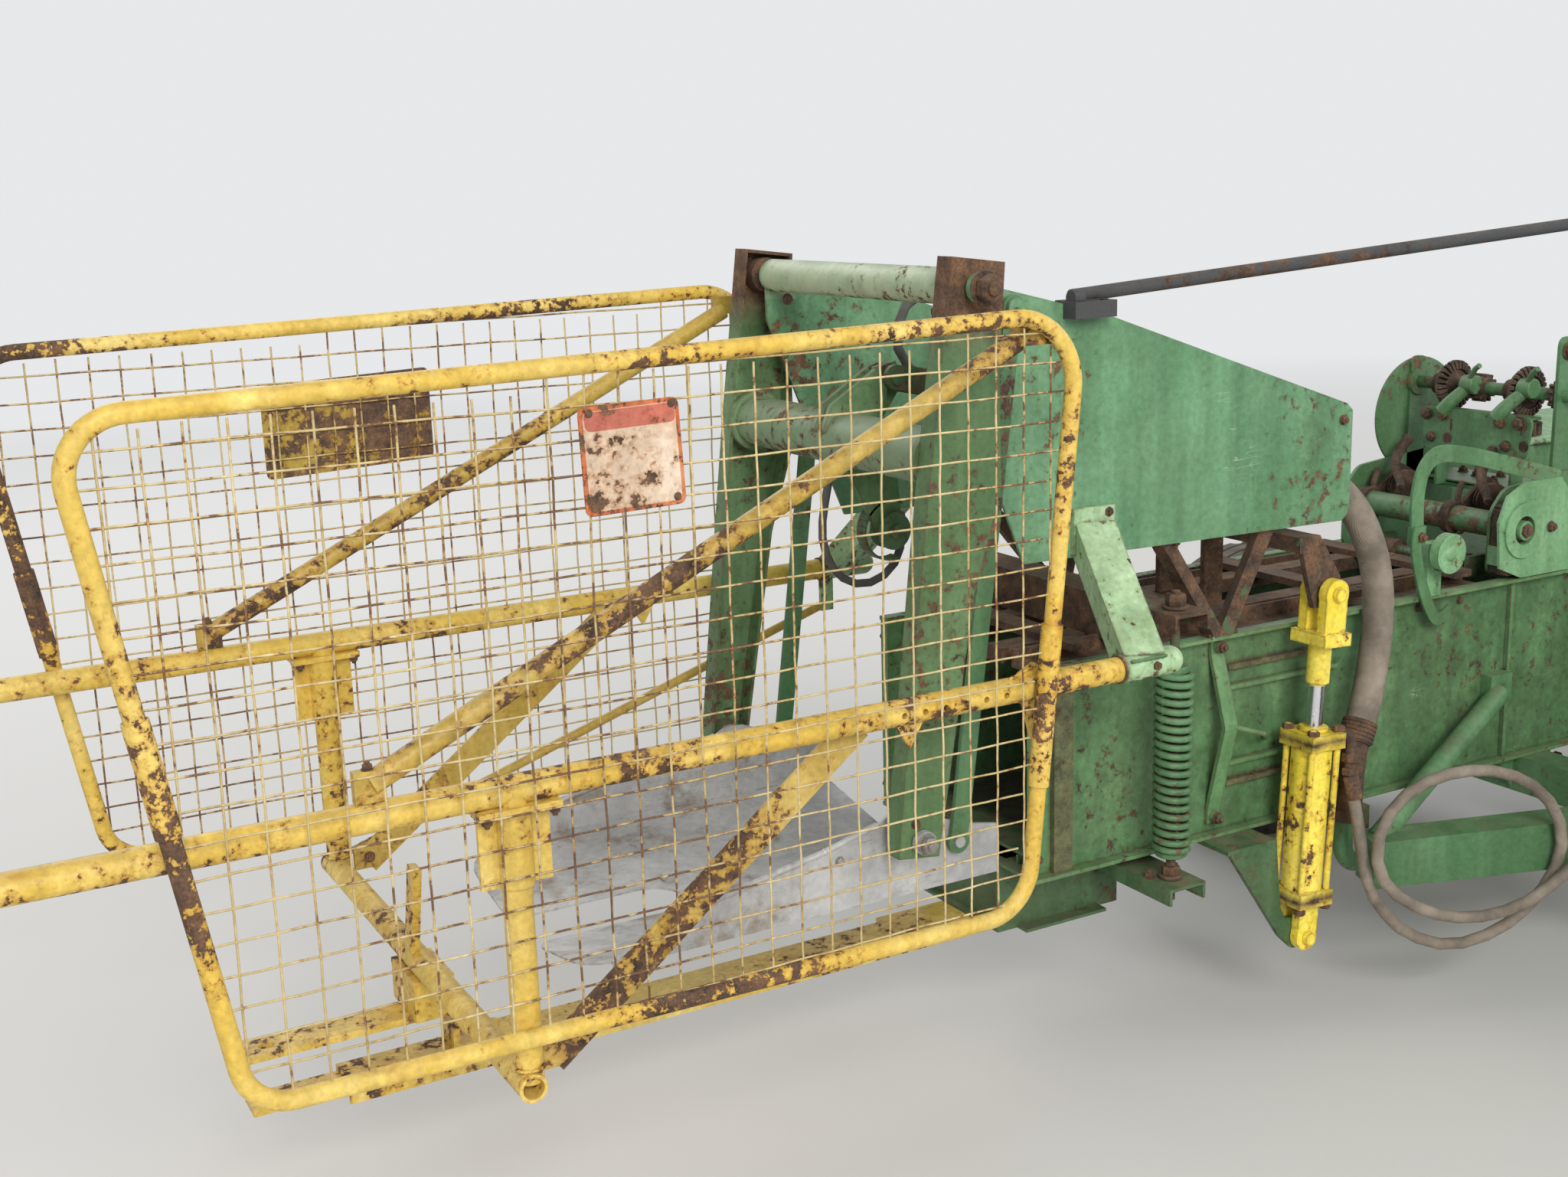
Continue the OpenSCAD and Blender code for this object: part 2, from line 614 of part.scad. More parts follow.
module control_pipe() color(dark) place() {
  rod([1500, -plate_y + 12, 1452], [3890, -plate_y + 12, 1590], 12);
  box(1480, 1570, -plate_y + 0.3, -plate_y + 30, 1424, 1446);
  translate([3850, -plate_y + 12, case_top_z + 0.3]) cylinder(h = 1587 - case_top_z, r = 16);
  box(3800, 3900, -plate_y - 4, -229, case_top_z + 0.3, case_top_z + 12);
  translate([3890, -plate_y + 12, 1590]) sphere(r = 15);
  rod([3890, -plate_y + 12, 1590], [3900, -plate_y + 12, 1460], 9);
  translate([3900, -plate_y + 12, 1460]) sphere(r = 11);
  rod([3900, -plate_y + 12, 1460], [4010, -plate_y + 12, 1466], 9);
}

// Knotter

module hoop(w, h, r, z0) {
  translate([-w, z0]) square([2 * w, h - z0 - r]);
  translate([-w + r, z0]) square([2 * (w - r), h - z0]);
  for (s = [-1, 1]) translate([s * (w - r), h - r]) circle(r = r);
}

module knotter_stand() color(green) place() {
  both() sheet([[2660, case_top_z + 2], [3010, case_top_z + 2], [3010, 1060], [2950, 1185], [2850, 1195], [2690, 1120], [2660, 1060]], 196, 8);
  box(2668, 2676, -200, 200, 1000, 1092);
  box(2700, 2960, -200, 200, 940, 948);
  box(2765, 3010, -250, 250, case_top_z + 0.3, case_top_z + 8);
  pin_y(knot_x, -225, 255, knot_z, 14);
  pin_y(2700, -212, 255, 906, 27);
  pin_y(3000, 203, 213, 1033, 150);
  translate([2618, 0, 0]) rotate([90, 0, 90]) linear_extrude(height = 34) difference() {
    hoop(236, 1012, 70, case_top_z + 0.3);
    hoop(228, 1004, 62, 790);
  }
}

module bevel_disc(y) {
  translate([knot_x, y, knot_z]) rotate([-90, 0, 0]) {
    difference() {
      union() {
        cylinder(h = 16, r1 = 52, r2 = 44);
        cylinder(h = 44, r = 25);
      }
      translate([0, 0, -1]) difference() {
        cylinder(h = 8, r = 40);
        cylinder(h = 8, r = 30);
      }
    }
    for (a = [0 : 18 : 342]) rotate([0, 0, a]) translate([36, -2.5, 12]) cube([14, 5, 8]);
  }
}

module knotters() color(rust) place() difference() {
  for (s = [-1, 1]) {
    bevel_disc(s * 97);
    translate([0, s * 118, 0]) {
      hull() { rod([2790, 40, 1150], [2790, 62, 1150], 26); rod([2740, 40, 990], [2740, 62, 990], 30); }
      hull() { rod([knot_x, 30, knot_z], [knot_x, 58, knot_z], 24); rod([2790, 40, 1150], [2790, 58, 1150], 20); }
      hull() { rod([2770, 40, 960], [2770, 62, 960], 26); rod([2700, 30, 906], [2700, 62, 906], 36); }
      rod([2768, 40, 1180], [2762, 102 - (s > 0 ? 27 : 0), 1196], 19);
      rod([2765, 50, 1187], [2764, 70, 1193], 30);
      rod([2756, 38, 1010], [2716, -34, 948], 14);
      translate([2712, -38, 944]) sphere(r = 20);
      rod([2716, 42, 948], [2686, 10, 872], 9);
    }
  }
  pin_y(knot_x, -260, 260, knot_z, 14.1);
  pin_y(2700, -260, 260, 906, 27.1);
  box(2667.8, 2676.2, -260, 260, 999.8, 1092.2);
  box(2699.8, 2960.2, -260, 260, 939.8, 948.2);
  both() box(2600, 3100, 195.7, 204.3, 800, 1300);
  pin_y(3000, 202.7, 213.3, 1033, 150.3);
}

module knotter_guard() color(green) place() {
  difference() {
    union() {
      sheet([[2637, 982], [2691, 1007], [2800, 1007], [2840, 960], [2840, case_top_z + 3], [2691, case_top_z + 3], [2625, case_top_z + 30], [2615, 930]], -262, 6);
      pin_y(2689, -268, -250, 907, 58);
    }
    pin_y(2689, -300, -240, 907, 30);
  }
  pin_y(2689, -270, -215, 907, 20);
  sheet([[2670, case_top_z + 8.3], [2900, case_top_z + 8.3], [2900, 930], [2670, 930]], -249, 8);
  box(2770, 2900, -249, -204.3, case_top_z + 8.3, case_top_z + 16);
  box(2655, 2672, -262, -204.3, case_top_z + 27, case_top_z + 67);
  pin_y(2432, -300, -236.3, 896, 9);
  pin_y(2432, -300, -282, 896, 40);
  box(2412, 2452, -262, -236.3, case_top_z + 0.3, 912);
}

module needles() color(rust) place() {
  both() {
    translate([3260, 124, 400]) rotate([90, 0, 0]) linear_extrude(height = 18) intersection() {
      difference() { circle(r = 250); circle(r = 228); }
      polygon([[0, 0], [-564, -205], [-564, -900], [-15, -900]]);
    }
    bar([3260, case_in - 43, 392], [3256, case_in - 43, 160], 12, 44);
    pin_y(3260, case_in - 59, case_in - 24, 385, 24);
    box(3225, 3295, case_in - 53, case_in - 29, 385, case_z + 15.7);
  }
  pin_y(3256, -case_in + 41, case_in - 41, 162, 17);
}

// Running gear

module axle() color(green) place() {
  box(axle_x - 40, axle_x + 40, right_y + 150, left_y - 190, 325, 404.5);
  for (y = [right_y, left_y]) pin_y(axle_x, y - (y < 0 ? 59 : 192), y + (y < 0 ? 192 : 59), wheel_r, 22);
  bar([2195, -332, 315], [axle_x - 30, -542, 330], 78, 96);
  rod([2225, -332, 350], [2648, -262, 566], 22);
  box(2620, 2684, -262, -235.3, 546, 604);
  rod([2655, -274, 575], [2655, -250, 575], 13);
  both() sheet([[axle_x - 90, 404.5], [axle_x + 90, 404.5], [axle_x + 40, 330], [axle_x - 40, 330]], case_out - 10, 8);
  bar([axle_x, right_y + 160, 365], [3156, -1558, 408], 60, 60);
}

module rim(y, w, out) translate([axle_x, y, wheel_r]) rotate([-90, 0, 0]) rotate([0, 0, 0]) {
  difference() {
    translate([0, 0, -w / 2]) cylinder(h = w, r = 190);
    translate([0, 0, -w / 2 - 1]) cylinder(h = w / 2 - 8, r = 172);
    translate([0, 0, 8]) cylinder(h = w / 2, r = 172);
    for (a = [0 : 60 : 300]) rotate([0, 0, a]) translate([110, 0, -20]) cylinder(h = 60, r = 20);
    translate([0, 0, -w]) cylinder(h = 2 * w, r = 22.05);
  }
  difference() {
    translate([0, 0, out > 0 ? -50 : -62]) cylinder(h = 112, r = 46);
    translate([0, 0, -100]) cylinder(h = 200, r = 22.05);
  }
  translate([0, 0, out > 0 ? 60 : -76]) cylinder(h = 16, r = 34);
}

module tyre(y, w) translate([axle_x, y, wheel_r]) rotate([-90, 0, 0]) rotate_extrude($fn = 72)
  polygon([[189, -w * 0.4], [205, -w * 0.44], [250, -w * 0.5], [300, -w * 0.49], [345, -w * 0.42], [wheel_r - 3, -w * 0.3],
    [wheel_r, -w * 0.1], [wheel_r, w * 0.1], [wheel_r - 3, w * 0.3], [345, w * 0.42], [300, w * 0.49], [250, w * 0.5],
    [205, w * 0.44], [189, w * 0.4]]);

module left_rim() color(yellow) place() rim(left_y, 210, 1);
module left_tyre() color(dark) place() tyre(left_y, 260);
module right_rim() color(yellow) place() rim(right_y, 160, -1);
module right_tyre() color(dark) place() tyre(right_y, 200);

// Feeder and pickup

module feeder_housing() color(green) place() {
  box(3160, 3750, -1660, -case_out - 22.3, 430, 436);
  box(3160, 3168, -1660, -case_out - 22.3, 430, 830);
  box(3160, 3750, -1660, -1652, 430, 700);
  box(3160, 3420, -1660, -case_out - 22.3, 822, 830);
}

module feeder_frame() color(green) place() {
  box(3160, 3200, -1660, -case_out - 22.3, 380, 429.7);
  box(3700, 3750, -1660, -case_out - 22.3, 400, 429.7);
  for (y = [-1600, -900, -case_out - 62.3]) box(3160, 3740, y, y + 40, 396, 429.7);
  for (y = [pick_y0 + 24, pick_y1 + 30]) difference() {
    union() {
      box(3750.3, 3790, y - 6, y + 6, 400, 500);
      pin_y(3790, y - 6, y + 6, 470, 24);
    }
    pin_y(3790, y - 20, y + 20, 470, 15.05);
  }
  box(3745, 3756, pick_y0 - 10, -case_out - 22.3, 400, 429.7);
  box(3745, 3756, pick_y1 + 24, pick_y1 + 60, 400, 429.7);
  pin_y(3450, -1651.7, -1606, 640, 46);
  pin_y(3450, -1651.7, -700, 640, 20);
}

module feeder_auger() color(green) place() {
  difference() {
    union() {
      pin_y(3450, -1600, -300, 640, 55);
      translate([3450, -320, 640]) rotate([90, 0, 0])
        linear_extrude(height = 1200, twist = 360 * 4, slices = 80, convexity = 6, $fn = 4)
          translate([50, -4]) square([105, 8]);
    }
    pin_y(3450, -1610, -290, 640, 20.05);
  }
}

module pickup_frame() color(green) place() {
  for (y = [pick_y0 - 8, pick_y1]) sheet([[3770, 520], [3830, 520], [4030, 640], [4160, 600], [4250, 480], [4240, 330], [4130, 220],
    [3960, 190], [3840, 260], [3770, 420]], y, 8);
  pin_y(reel_x, pick_y1 + 2, pick_y0 - 2, reel_z, 20);
  pin_y(3790, pick_y0 - 6, pick_y0 + 34, 470, 15);
  pin_y(3790, pick_y1 + 2, pick_y1 + 40, 470, 15);
  pin_y(3850, pick_y1 + 2, pick_y0 - 2, 250, 22);
}

module pickup_bands() color(green) place() {
  step = (pick_y0 - pick_y1 - 60) / tines;
  for (i = [0 : tines]) translate([reel_x, pick_y1 + 30 + i * step + step / 2 - 16 - step / 2, reel_z]) rotate([-90, 0, 0])
    linear_extrude(height = 32) union() {
      intersection() {
        difference() { circle(r = 214); circle(r = 211); }
        polygon([[0, 0], [0, -300], [300, -300], [300, 300], [-160, 300], [-160, 150]]);
      }
      translate([0, -214]) rotate([0, 0, 153.1]) translate([0, -3]) square([241, 3]);
    }
}

module pickup_reel() color(rust) place() {
  step = (pick_y0 - pick_y1 - 60) / tines;
  difference() {
    union() {
      pin_y(reel_x, pick_y1 + 20, pick_y0 - 20, reel_z, 30);
      for (y = [pick_y1 + 40, (pick_y0 + pick_y1) / 2, pick_y0 - 48]) pin_y(reel_x, y, y + 8, reel_z, 150);
    }
    pin_y(reel_x, -2000, 0, reel_z, 20.05);
  }
  for (b = [0 : tine_bars - 1]) translate([reel_x, 0, reel_z]) rotate([0, b * 360 / tine_bars + 30, 0]) translate([130, 0, 0]) {
    pin_y(0, pick_y1 + 42, pick_y0 - 42, 0, 14);
    for (i = [0 : tines - 1]) translate([0, pick_y1 + 30 + (i + 0.5) * step, 0]) rotate([0, 76, 0])
      cylinder(h = 130, r = 3.2, $fn = 14);
  }
}

module wind_guard() color(green) place() {
  pin_y(3800, pick_y1 - 30, pick_y0 + 20, 760, 18);
  for (i = [0 : 11])
    sheet([[3800, 764], [4002, 746], [4184, 692], [4182, 684], [4000, 738], [3800, 756]], pick_y1 + 54 + i * 115, 12);
  pin_y(4180, pick_y1 + 40, pick_y0 - 40, 690, 9);
}

module gauge_bracket() color(green) place() {
  bar([4100, pick_y1 - 14, 300], [4105, pick_y1 - 14, 130], 10, 60);
  box(4050, 4150, pick_y1 - 20, pick_y1, 260, 330);
  pin_y(4105, pick_y1 - 100, pick_y1 - 10, 150, 12);
  for (y = [pick_y1 - 10, pick_y0]) difference() {
    union() {
      box(3786, 3814, y, y + 10, 495, 745);
      pin_y(3800, y, y + 10, 760, 30);
    }
    pin_y(3800, y - 1, y + 11, 760, 18.05);
  }
}

module gauge_wheel() color(dark) place() translate([4105, pick_y1 - 62, 150]) rotate([-90, 0, 0]) difference() {
  union() {
    rotate_extrude($fn = 60) polygon([[20, -28], [80, -20], [95, -36], [135, -38], [150, -20], [150, 20], [135, 38], [95, 36], [80, 20], [20, 28]]);
    cylinder(h = 64, r = 26, center = true);
  }
  cylinder(h = 90, r = 12.05, center = true);
}

// Drive

module gearcase() color(green) place() {
  box(4255, 4500, -210, 210, 560, 900);
  box(4300, 4460, -150, 150, 899, 1010);
  pin_y(4380, -250, 250, 760, 120);
  translate([4499, 0, fly_z]) rotate([0, 90, 0]) cylinder(h = 130, r = 85);
  translate([4499, 0, fly_z]) rotate([0, 90, 0]) cylinder(h = 14, r = 130);
  box(4250.3, 4520, -240, 240, 405, 430);
  both() box(4255, 4480, 200, 212, 425, 562);
  both() box(4255, 4267, 100, 212, 425, 562);
  for (x = [4275, 4470], y = [-175, 175]) translate([x, y, 899]) cylinder(h = 16, r = 14);
}

module drive_shield() color(green) place() {
  difference() {
    box(4520, 4880, -410, 410, 830, 1240);
    box(4526, 4886, -404, 404, 820, 1234);
    translate([4500, 0, fly_z]) rotate([0, 90, 0]) cylinder(h = 60, r = 92);
  }
  both() box(4500.3, 4530, 180, 240, 430.3, 835);
  both() box(4500.3, 4530, 180, 410, 815, 835);
}

module flywheel() color(green) place() translate([fly_x, 0, fly_z]) rotate([0, 90, 0]) {
  difference() {
    union() {
      difference() {
        translate([0, 0, -38]) cylinder(h = 76, r = fly_r, $fn = 96);
        translate([0, 0, -39]) cylinder(h = 28, r = fly_r - 60);
        translate([0, 0, 11]) cylinder(h = 40, r = fly_r - 60);
      }
      translate([0, 0, -60]) cylinder(h = 120, r = 70);
    }
    for (a = [0 : 60 : 300]) rotate([0, 0, a + 30]) translate([185, 0, -40]) cylinder(h = 90, r = 42);
  }
  translate([0, 0, -130.7]) cylinder(h = 80, r = 30);
}

module drive_shaft() color(yellow) place() translate([fly_x, 0, fly_z]) rotate([0, 90, 0]) {
  translate([0, 0, 60.5]) cylinder(h = 40, r = 55);
  for (a = [0, 180]) rotate([0, 0, a]) translate([24, -22, 98]) cube([18, 44, 62]);
  translate([0, 0, 110]) { sphere(r = 26); rotate([90, 0, 0]) cylinder(h = 96, r = 12, center = true); }
  rotate([0, 90, 0]) translate([-140, 0, 0]) cylinder(h = 80, r = 12, center = true);
  translate([0, 0, 128]) cylinder(h = 40, r = 26);
  translate([0, 0, 150]) cylinder(h = 560, r = 42);
  translate([0, 0, 690]) cylinder(h = 490, r = 34);
  translate([0, 0, 1160]) cylinder(h = 60, r = 27);
  difference() {
    translate([0, 0, 1215]) cylinder(h = 70, r = 34);
    translate([0, 0, 1225]) cylinder(h = 70, r = 17.5);
  }
}

module plunger() color(rust) place() {
  box(3740, 4180, -case_in + 5, case_in - 5, case_z + 22.3, case_top_z - 33);
}

// Tongue

module tongue() color(green) place() {
  difference() {
    union() {
      box(swing_x - 10, 5950, -60, 60, 260, 360);
      translate([swing_x, 0, 260]) cylinder(h = 100, r = 60);
      box(5900, 6100, -45, 45, 272, 348);
      for (z = [272, 332]) { box(6080, hitch_x, -45, 45, z, z + 20); translate([hitch_x, 0, z]) cylinder(h = 20, r = 45); }
    }
    translate([swing_x, 0, 240]) cylinder(h = 140, r = 25.05);
    translate([hitch_x, 0, 240]) cylinder(h = 140, r = 16.5);
  }
}

module shaft_prop() color(green) place() {
  translate([5630, -30, 360.3]) cube([60, 60, 9]);
  translate([5660, 0, 365]) cylinder(h = 385, r = 14);
  box(5625, 5695, -45, 45, 745, 753);
  for (s = [-1, 1]) bar([5660, 0, 640], [5660, s * 38, 748], 8, 40);
}

module tongue_hinge() color(green) place() {
  for (z = [366, 240]) {
    box(4050, swing_x, -80, 80, z, z + 14);
    translate([swing_x, 0, z]) cylinder(h = 14, r = 80);
  }
  box(4050, 4066, -80, 80, 240, 404.5);
  translate([swing_x, 0, 228]) cylinder(h = 151, r = 25);
  translate([swing_x, 0, 224]) cylinder(h = 10, r = 36);
}

module jack_sleeve() color(yellow) place() {
  translate([5400, 110, 230]) difference() {
    cylinder(h = 480, r = 34);
    translate([0, 0, -5]) cylinder(h = 460, r = 28.05);
  }
  box(5350, 5450, 60.3, 81.5, 285, 345);
  box(5360, 5440, 60.5, 81.5, 270, 350);
  translate([5400, 110, 700]) cylinder(h = 40, r = 9);
  rod([5400, 104, 732], [5400, 200, 732], 7);
  translate([5400, 200, 720]) cylinder(h = 80, r = 12);
}

module jack_leg() color(steel) place() {
  translate([5400, 110, 8]) cylinder(h = 420, r = 28);
  translate([5400, 110, 0]) cylinder(h = 12, r = 80);
}

// Twine box

module twine_box() color(green) place() {
  difference() {
    box(3250, 3950, 262, 620, 560, 960);
    box(3256, 3944, 268, 614, 566, 970);
  }
  for (x = [3330, 3830]) box(x, x + 50, case_out + 0.3, 264, 600, 780);
  box(3330, 3380, case_out + 0.3, 500, 540, 561);
  box(3830, 3880, case_out + 0.3, 500, 540, 561);
  for (x = [3300, 3850]) box(x, x + 50, 242, 263, 930, 961.7);
}

module twine_lid() color(green) place() {
  box(3240, 3960, 256, 630, 966, 972);
  box(3240, 3960, 626, 630, 940, 972);
  for (x = [3240, 3956]) box(x, x + 4, 268, 630, 940, 972);
  translate([3280, 250, 969]) rotate([0, 90, 0]) cylinder(h = 640, r = 7);
  box(3280, 3920, 249, 260, 966, 972);
}

case_right();
case_left();
case_floor();
case_top();
rear_frame();
tension_rails();
tension_spring();
tension_barrel();
tension_rod();
side_plates();
plate_feet();
rail_brackets();
swing_arms();
pan_links();
pan();
throw_barrel();
throw_rod();
cage_rails();
cage_screens();
cage_mesh();
sign_plates();
cage_braces();
wagon_hitch();
control_pipe();
knotter_stand();
knotters();
knotter_guard();
needles();
axle();
left_rim();
left_tyre();
right_rim();
right_tyre();
feeder_housing();
feeder_frame();
feeder_auger();
pickup_frame();
pickup_bands();
pickup_reel();
wind_guard();
gauge_bracket();
gauge_wheel();
gearcase();
drive_shield();
flywheel();
drive_shaft();
plunger();
tongue_hinge();
tongue();
shaft_prop();
jack_sleeve();
jack_leg();
twine_box();
twine_lid();
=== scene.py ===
import math
import random

import bmesh
import bpy
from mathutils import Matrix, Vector


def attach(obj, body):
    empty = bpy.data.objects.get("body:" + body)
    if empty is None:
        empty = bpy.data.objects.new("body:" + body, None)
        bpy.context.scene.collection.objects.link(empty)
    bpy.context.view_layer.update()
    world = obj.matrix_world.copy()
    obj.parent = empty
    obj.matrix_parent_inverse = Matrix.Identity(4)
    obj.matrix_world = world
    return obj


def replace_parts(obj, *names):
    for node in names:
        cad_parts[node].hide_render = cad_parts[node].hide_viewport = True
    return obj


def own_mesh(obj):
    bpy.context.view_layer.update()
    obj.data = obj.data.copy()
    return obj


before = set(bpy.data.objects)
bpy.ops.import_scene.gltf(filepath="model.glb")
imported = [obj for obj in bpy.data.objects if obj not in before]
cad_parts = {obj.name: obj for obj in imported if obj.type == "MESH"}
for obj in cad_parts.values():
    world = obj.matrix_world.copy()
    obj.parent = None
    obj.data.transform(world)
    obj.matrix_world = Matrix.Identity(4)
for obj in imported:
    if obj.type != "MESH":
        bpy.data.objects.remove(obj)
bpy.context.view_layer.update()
print("frame loaded:", len(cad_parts), "nodes")

# The machine is drawn in millimetres: x forward, y to its left from the case's middle, z up from the ground.
drawing = {"middleX": 2897.5, "middleY": -555.0}


def at(x, y, z):
    return Vector(((x - drawing["middleX"]) / 1000, (y - drawing["middleY"]) / 1000, z / 1000))


# Camera, at the photograph's viewing angle

shot = {"place": (-3.2985, -2.138, 1.654), "turn": (77.195, 1.698, -29.307), "lens": 41.11, "sensor": 36,
        "near": 0.05, "far": 200}


def makeCamera():
    data = bpy.data.cameras.new("camera")
    data.lens = shot["lens"]
    data.sensor_width = shot["sensor"]
    data.clip_start, data.clip_end = shot["near"], shot["far"]
    eye = bpy.data.objects.new("camera", data)
    eye.location = shot["place"]
    eye.rotation_euler = [math.radians(a) for a in shot["turn"]]
    bpy.context.scene.collection.objects.link(eye)
    bpy.context.scene.camera = eye


makeCamera()
print("camera placed")

# Node helpers


def fill(tree, node, values):
    for key, value in values.items():
        if isinstance(value, bpy.types.NodeSocket):
            tree.links.new(value, node.inputs[key])
        else:
            node.inputs[key].default_value = value
    return node


def add(tree, kind, values=None, **settings):
    node = tree.nodes.new("ShaderNode" + kind)
    for key, value in settings.items():
        setattr(node, key, value)
    return fill(tree, node, values or {})


def calc(tree, operation, a, b=0.0, c=0.0):
    return add(tree, "Math", {0: a, 1: b, 2: c}, operation=operation).outputs[0]


def plus(tree, a, b):
    return calc(tree, "ADD", a, b)


def minus(tree, a, b):
    return calc(tree, "SUBTRACT", a, b)


def times(tree, a, b):
    return calc(tree, "MULTIPLY", a, b)


def onto(tree, base, value, share):  # base + value x share
    return calc(tree, "MULTIPLY_ADD", value, share, base)


def largest(tree, value, *others):
    for other in others:
        value = calc(tree, "MAXIMUM", value, other)
    return value


def span(tree, value, low, high, toLow=0.0, toHigh=1.0):
    return add(tree, "MapRange", {"Value": value, "From Min": low, "From Max": high,
                                  "To Min": toLow, "To Max": toHigh}).outputs[0]


def blend(tree, factor, a, b, how="MIX"):
    return add(tree, "Mix", {0: factor, 6: a, 7: b}, data_type="RGBA", blend_type=how).outputs[2]


def between(tree, factor, a, b):
    return add(tree, "Mix", {0: factor, 2: a, 3: b}, data_type="FLOAT").outputs[0]


def grey(tree, value):
    return add(tree, "CombineColor", {0: value, 1: value, 2: value}).outputs[0]


def noise(tree, vector, scale, detail=3.0, rough=0.6, twist=0.0):
    return add(tree, "TexNoise", {"Vector": vector, "Scale": scale, "Detail": detail, "Roughness": rough,
                                  "Distortion": twist}).outputs["Fac"]


def vectorMath(tree, operation, a, b=(0, 0, 0)):
    return add(tree, "VectorMath", {0: a, 1: b}, operation=operation).outputs


def stretched(tree, vector, scale, turn=(0, 0, 0)):
    return add(tree, "Mapping", {"Vector": vector, "Scale": scale, "Rotation": turn}).outputs[0]


def facingUp(tree):
    return add(tree, "SeparateXYZ", {0: add(tree, "NewGeometry").outputs["Normal"]}).outputs["Z"]


def relief(tree, shader, height, look):
    bump = add(tree, "Bump", {"Height": height, "Strength": look["bump"], "Distance": look["bumpDepth"]})
    tree.links.new(bump.outputs[0], shader.inputs["Normal"])


def newGroup(name, inputs, outputs):
    tree = bpy.data.node_groups.new(name, "ShaderNodeTree")
    for label, value in {"Vector": (0, 0, 0), **inputs}.items():
        kind = "Float" if isinstance(value, float) else {3: "Vector", 4: "Color"}[len(value)]
        socket = tree.interface.new_socket(name=label, in_out="INPUT", socket_type="NodeSocket" + kind)
        socket.default_value = value
    for label in outputs:
        kind = "Color" if label == "Color" else "Float"
        tree.interface.new_socket(name=label, in_out="OUTPUT", socket_type="NodeSocket" + kind)
    return tree, tree.nodes.new("NodeGroupInput").outputs, tree.nodes.new("NodeGroupOutput")


def useGroup(tree, effect, vector, **values):
    node = tree.nodes.new("ShaderNodeGroup")
    node.node_tree = effects[effect]
    return fill(tree, node, {"Vector": vector, **values}).outputs


# Shared effects

rustStops = {0.45: (0.085, 0.048, 0.030, 1), 0.56: (0.155, 0.080, 0.042, 1), 0.65: (0.230, 0.118, 0.058, 1)}
rustEnds = ((0.34, (0.034, 0.022, 0.016, 1)), (0.74, (0.34, 0.165, 0.072, 1)))
dustTone = (0.215, 0.168, 0.115, 1)
scratchLines = {"turns": (0.5, 1.3, -0.9), "stretch": (1.0, 1.0, 6.0), "level": 0.52, "width": 0.0038}


def makeWear():  # spots that gather in clouds and on undersides, with a stained halo
    tree, given, out = newGroup("wear", {"Scale": 20.0, "Cover": 0.3, "Softness": 0.03, "Gather": 0.6, "Under": 0.1,
                                         "Shift": (0, 0, 0)}, ("Mask", "Halo"))
    vector = vectorMath(tree, "ADD", given["Vector"], given["Shift"])[0]
    fine = noise(tree, vector, given["Scale"], 4.0, 0.68)
    clouds = minus(tree, noise(tree, vector, 2.3, 1.0, 0.5), 0.5)
    down = span(tree, facingUp(tree), -0.15, -0.9)
    value = onto(tree, onto(tree, fine, clouds, given["Gather"]), down, given["Under"])
    start = span(tree, given["Cover"], 0.0, 1.0, 0.74, 0.30)
    fill(tree, out, {"Mask": span(tree, value, start, plus(tree, start, given["Softness"])),
                     "Halo": span(tree, value, minus(tree, start, 0.10), start)})
    return tree


def makeEdges():  # broken wear where the surface turns sharply
    tree, given, out = newGroup("edges", {"Width": 0.006, "Amount": 0.5, "Breakup": 30.0}, ("Mask",))
    soft = add(tree, "Bevel", {"Radius": given["Width"]}, samples=2).outputs[0]
    flat = add(tree, "NewGeometry").outputs["Normal"]
    turning = span(tree, vectorMath(tree, "DOT_PRODUCT", soft, flat)["Value"], 0.998, 0.80)
    gate = calc(tree, "MULTIPLY_ADD", minus(tree, 1.0, given["Amount"]), 0.55, 0.25)
    broken = span(tree, noise(tree, given["Vector"], given["Breakup"], 3.0, 0.7), gate, plus(tree, gate, 0.06))
    fill(tree, out, {"Mask": times(tree, turning, broken)})
    return tree


def makeRustTone():  # dark to orange rust in five steps
    tree, given, out = newGroup("rustTone", {"Scale": 30.0, "Warmth": 0.5}, ("Color", "Roughness"))
    wide = noise(tree, given["Vector"], given["Scale"], 3.0, 0.7)
    fine = noise(tree, given["Vector"], times(tree, given["Scale"], 8.0), 2.0, 0.7)
    both = plus(tree, times(tree, wide, 0.65), times(tree, fine, 0.35))
    warmer = times(tree, minus(tree, given["Warmth"], 0.5), 0.22)
    ramp = add(tree, "ValToRGB", {"Fac": plus(tree, both, warmer)})
    stops = ramp.color_ramp.elements
    for stop, (place, tone) in zip(stops, rustEnds):
        stop.position, stop.color = place, tone
    for place, tone in rustStops.items():
        stops.new(place).color = tone
    fill(tree, out, {"Color": ramp.outputs["Color"], "Roughness": span(tree, fine, 0.3, 0.7, 0.74, 0.95)})
    return tree


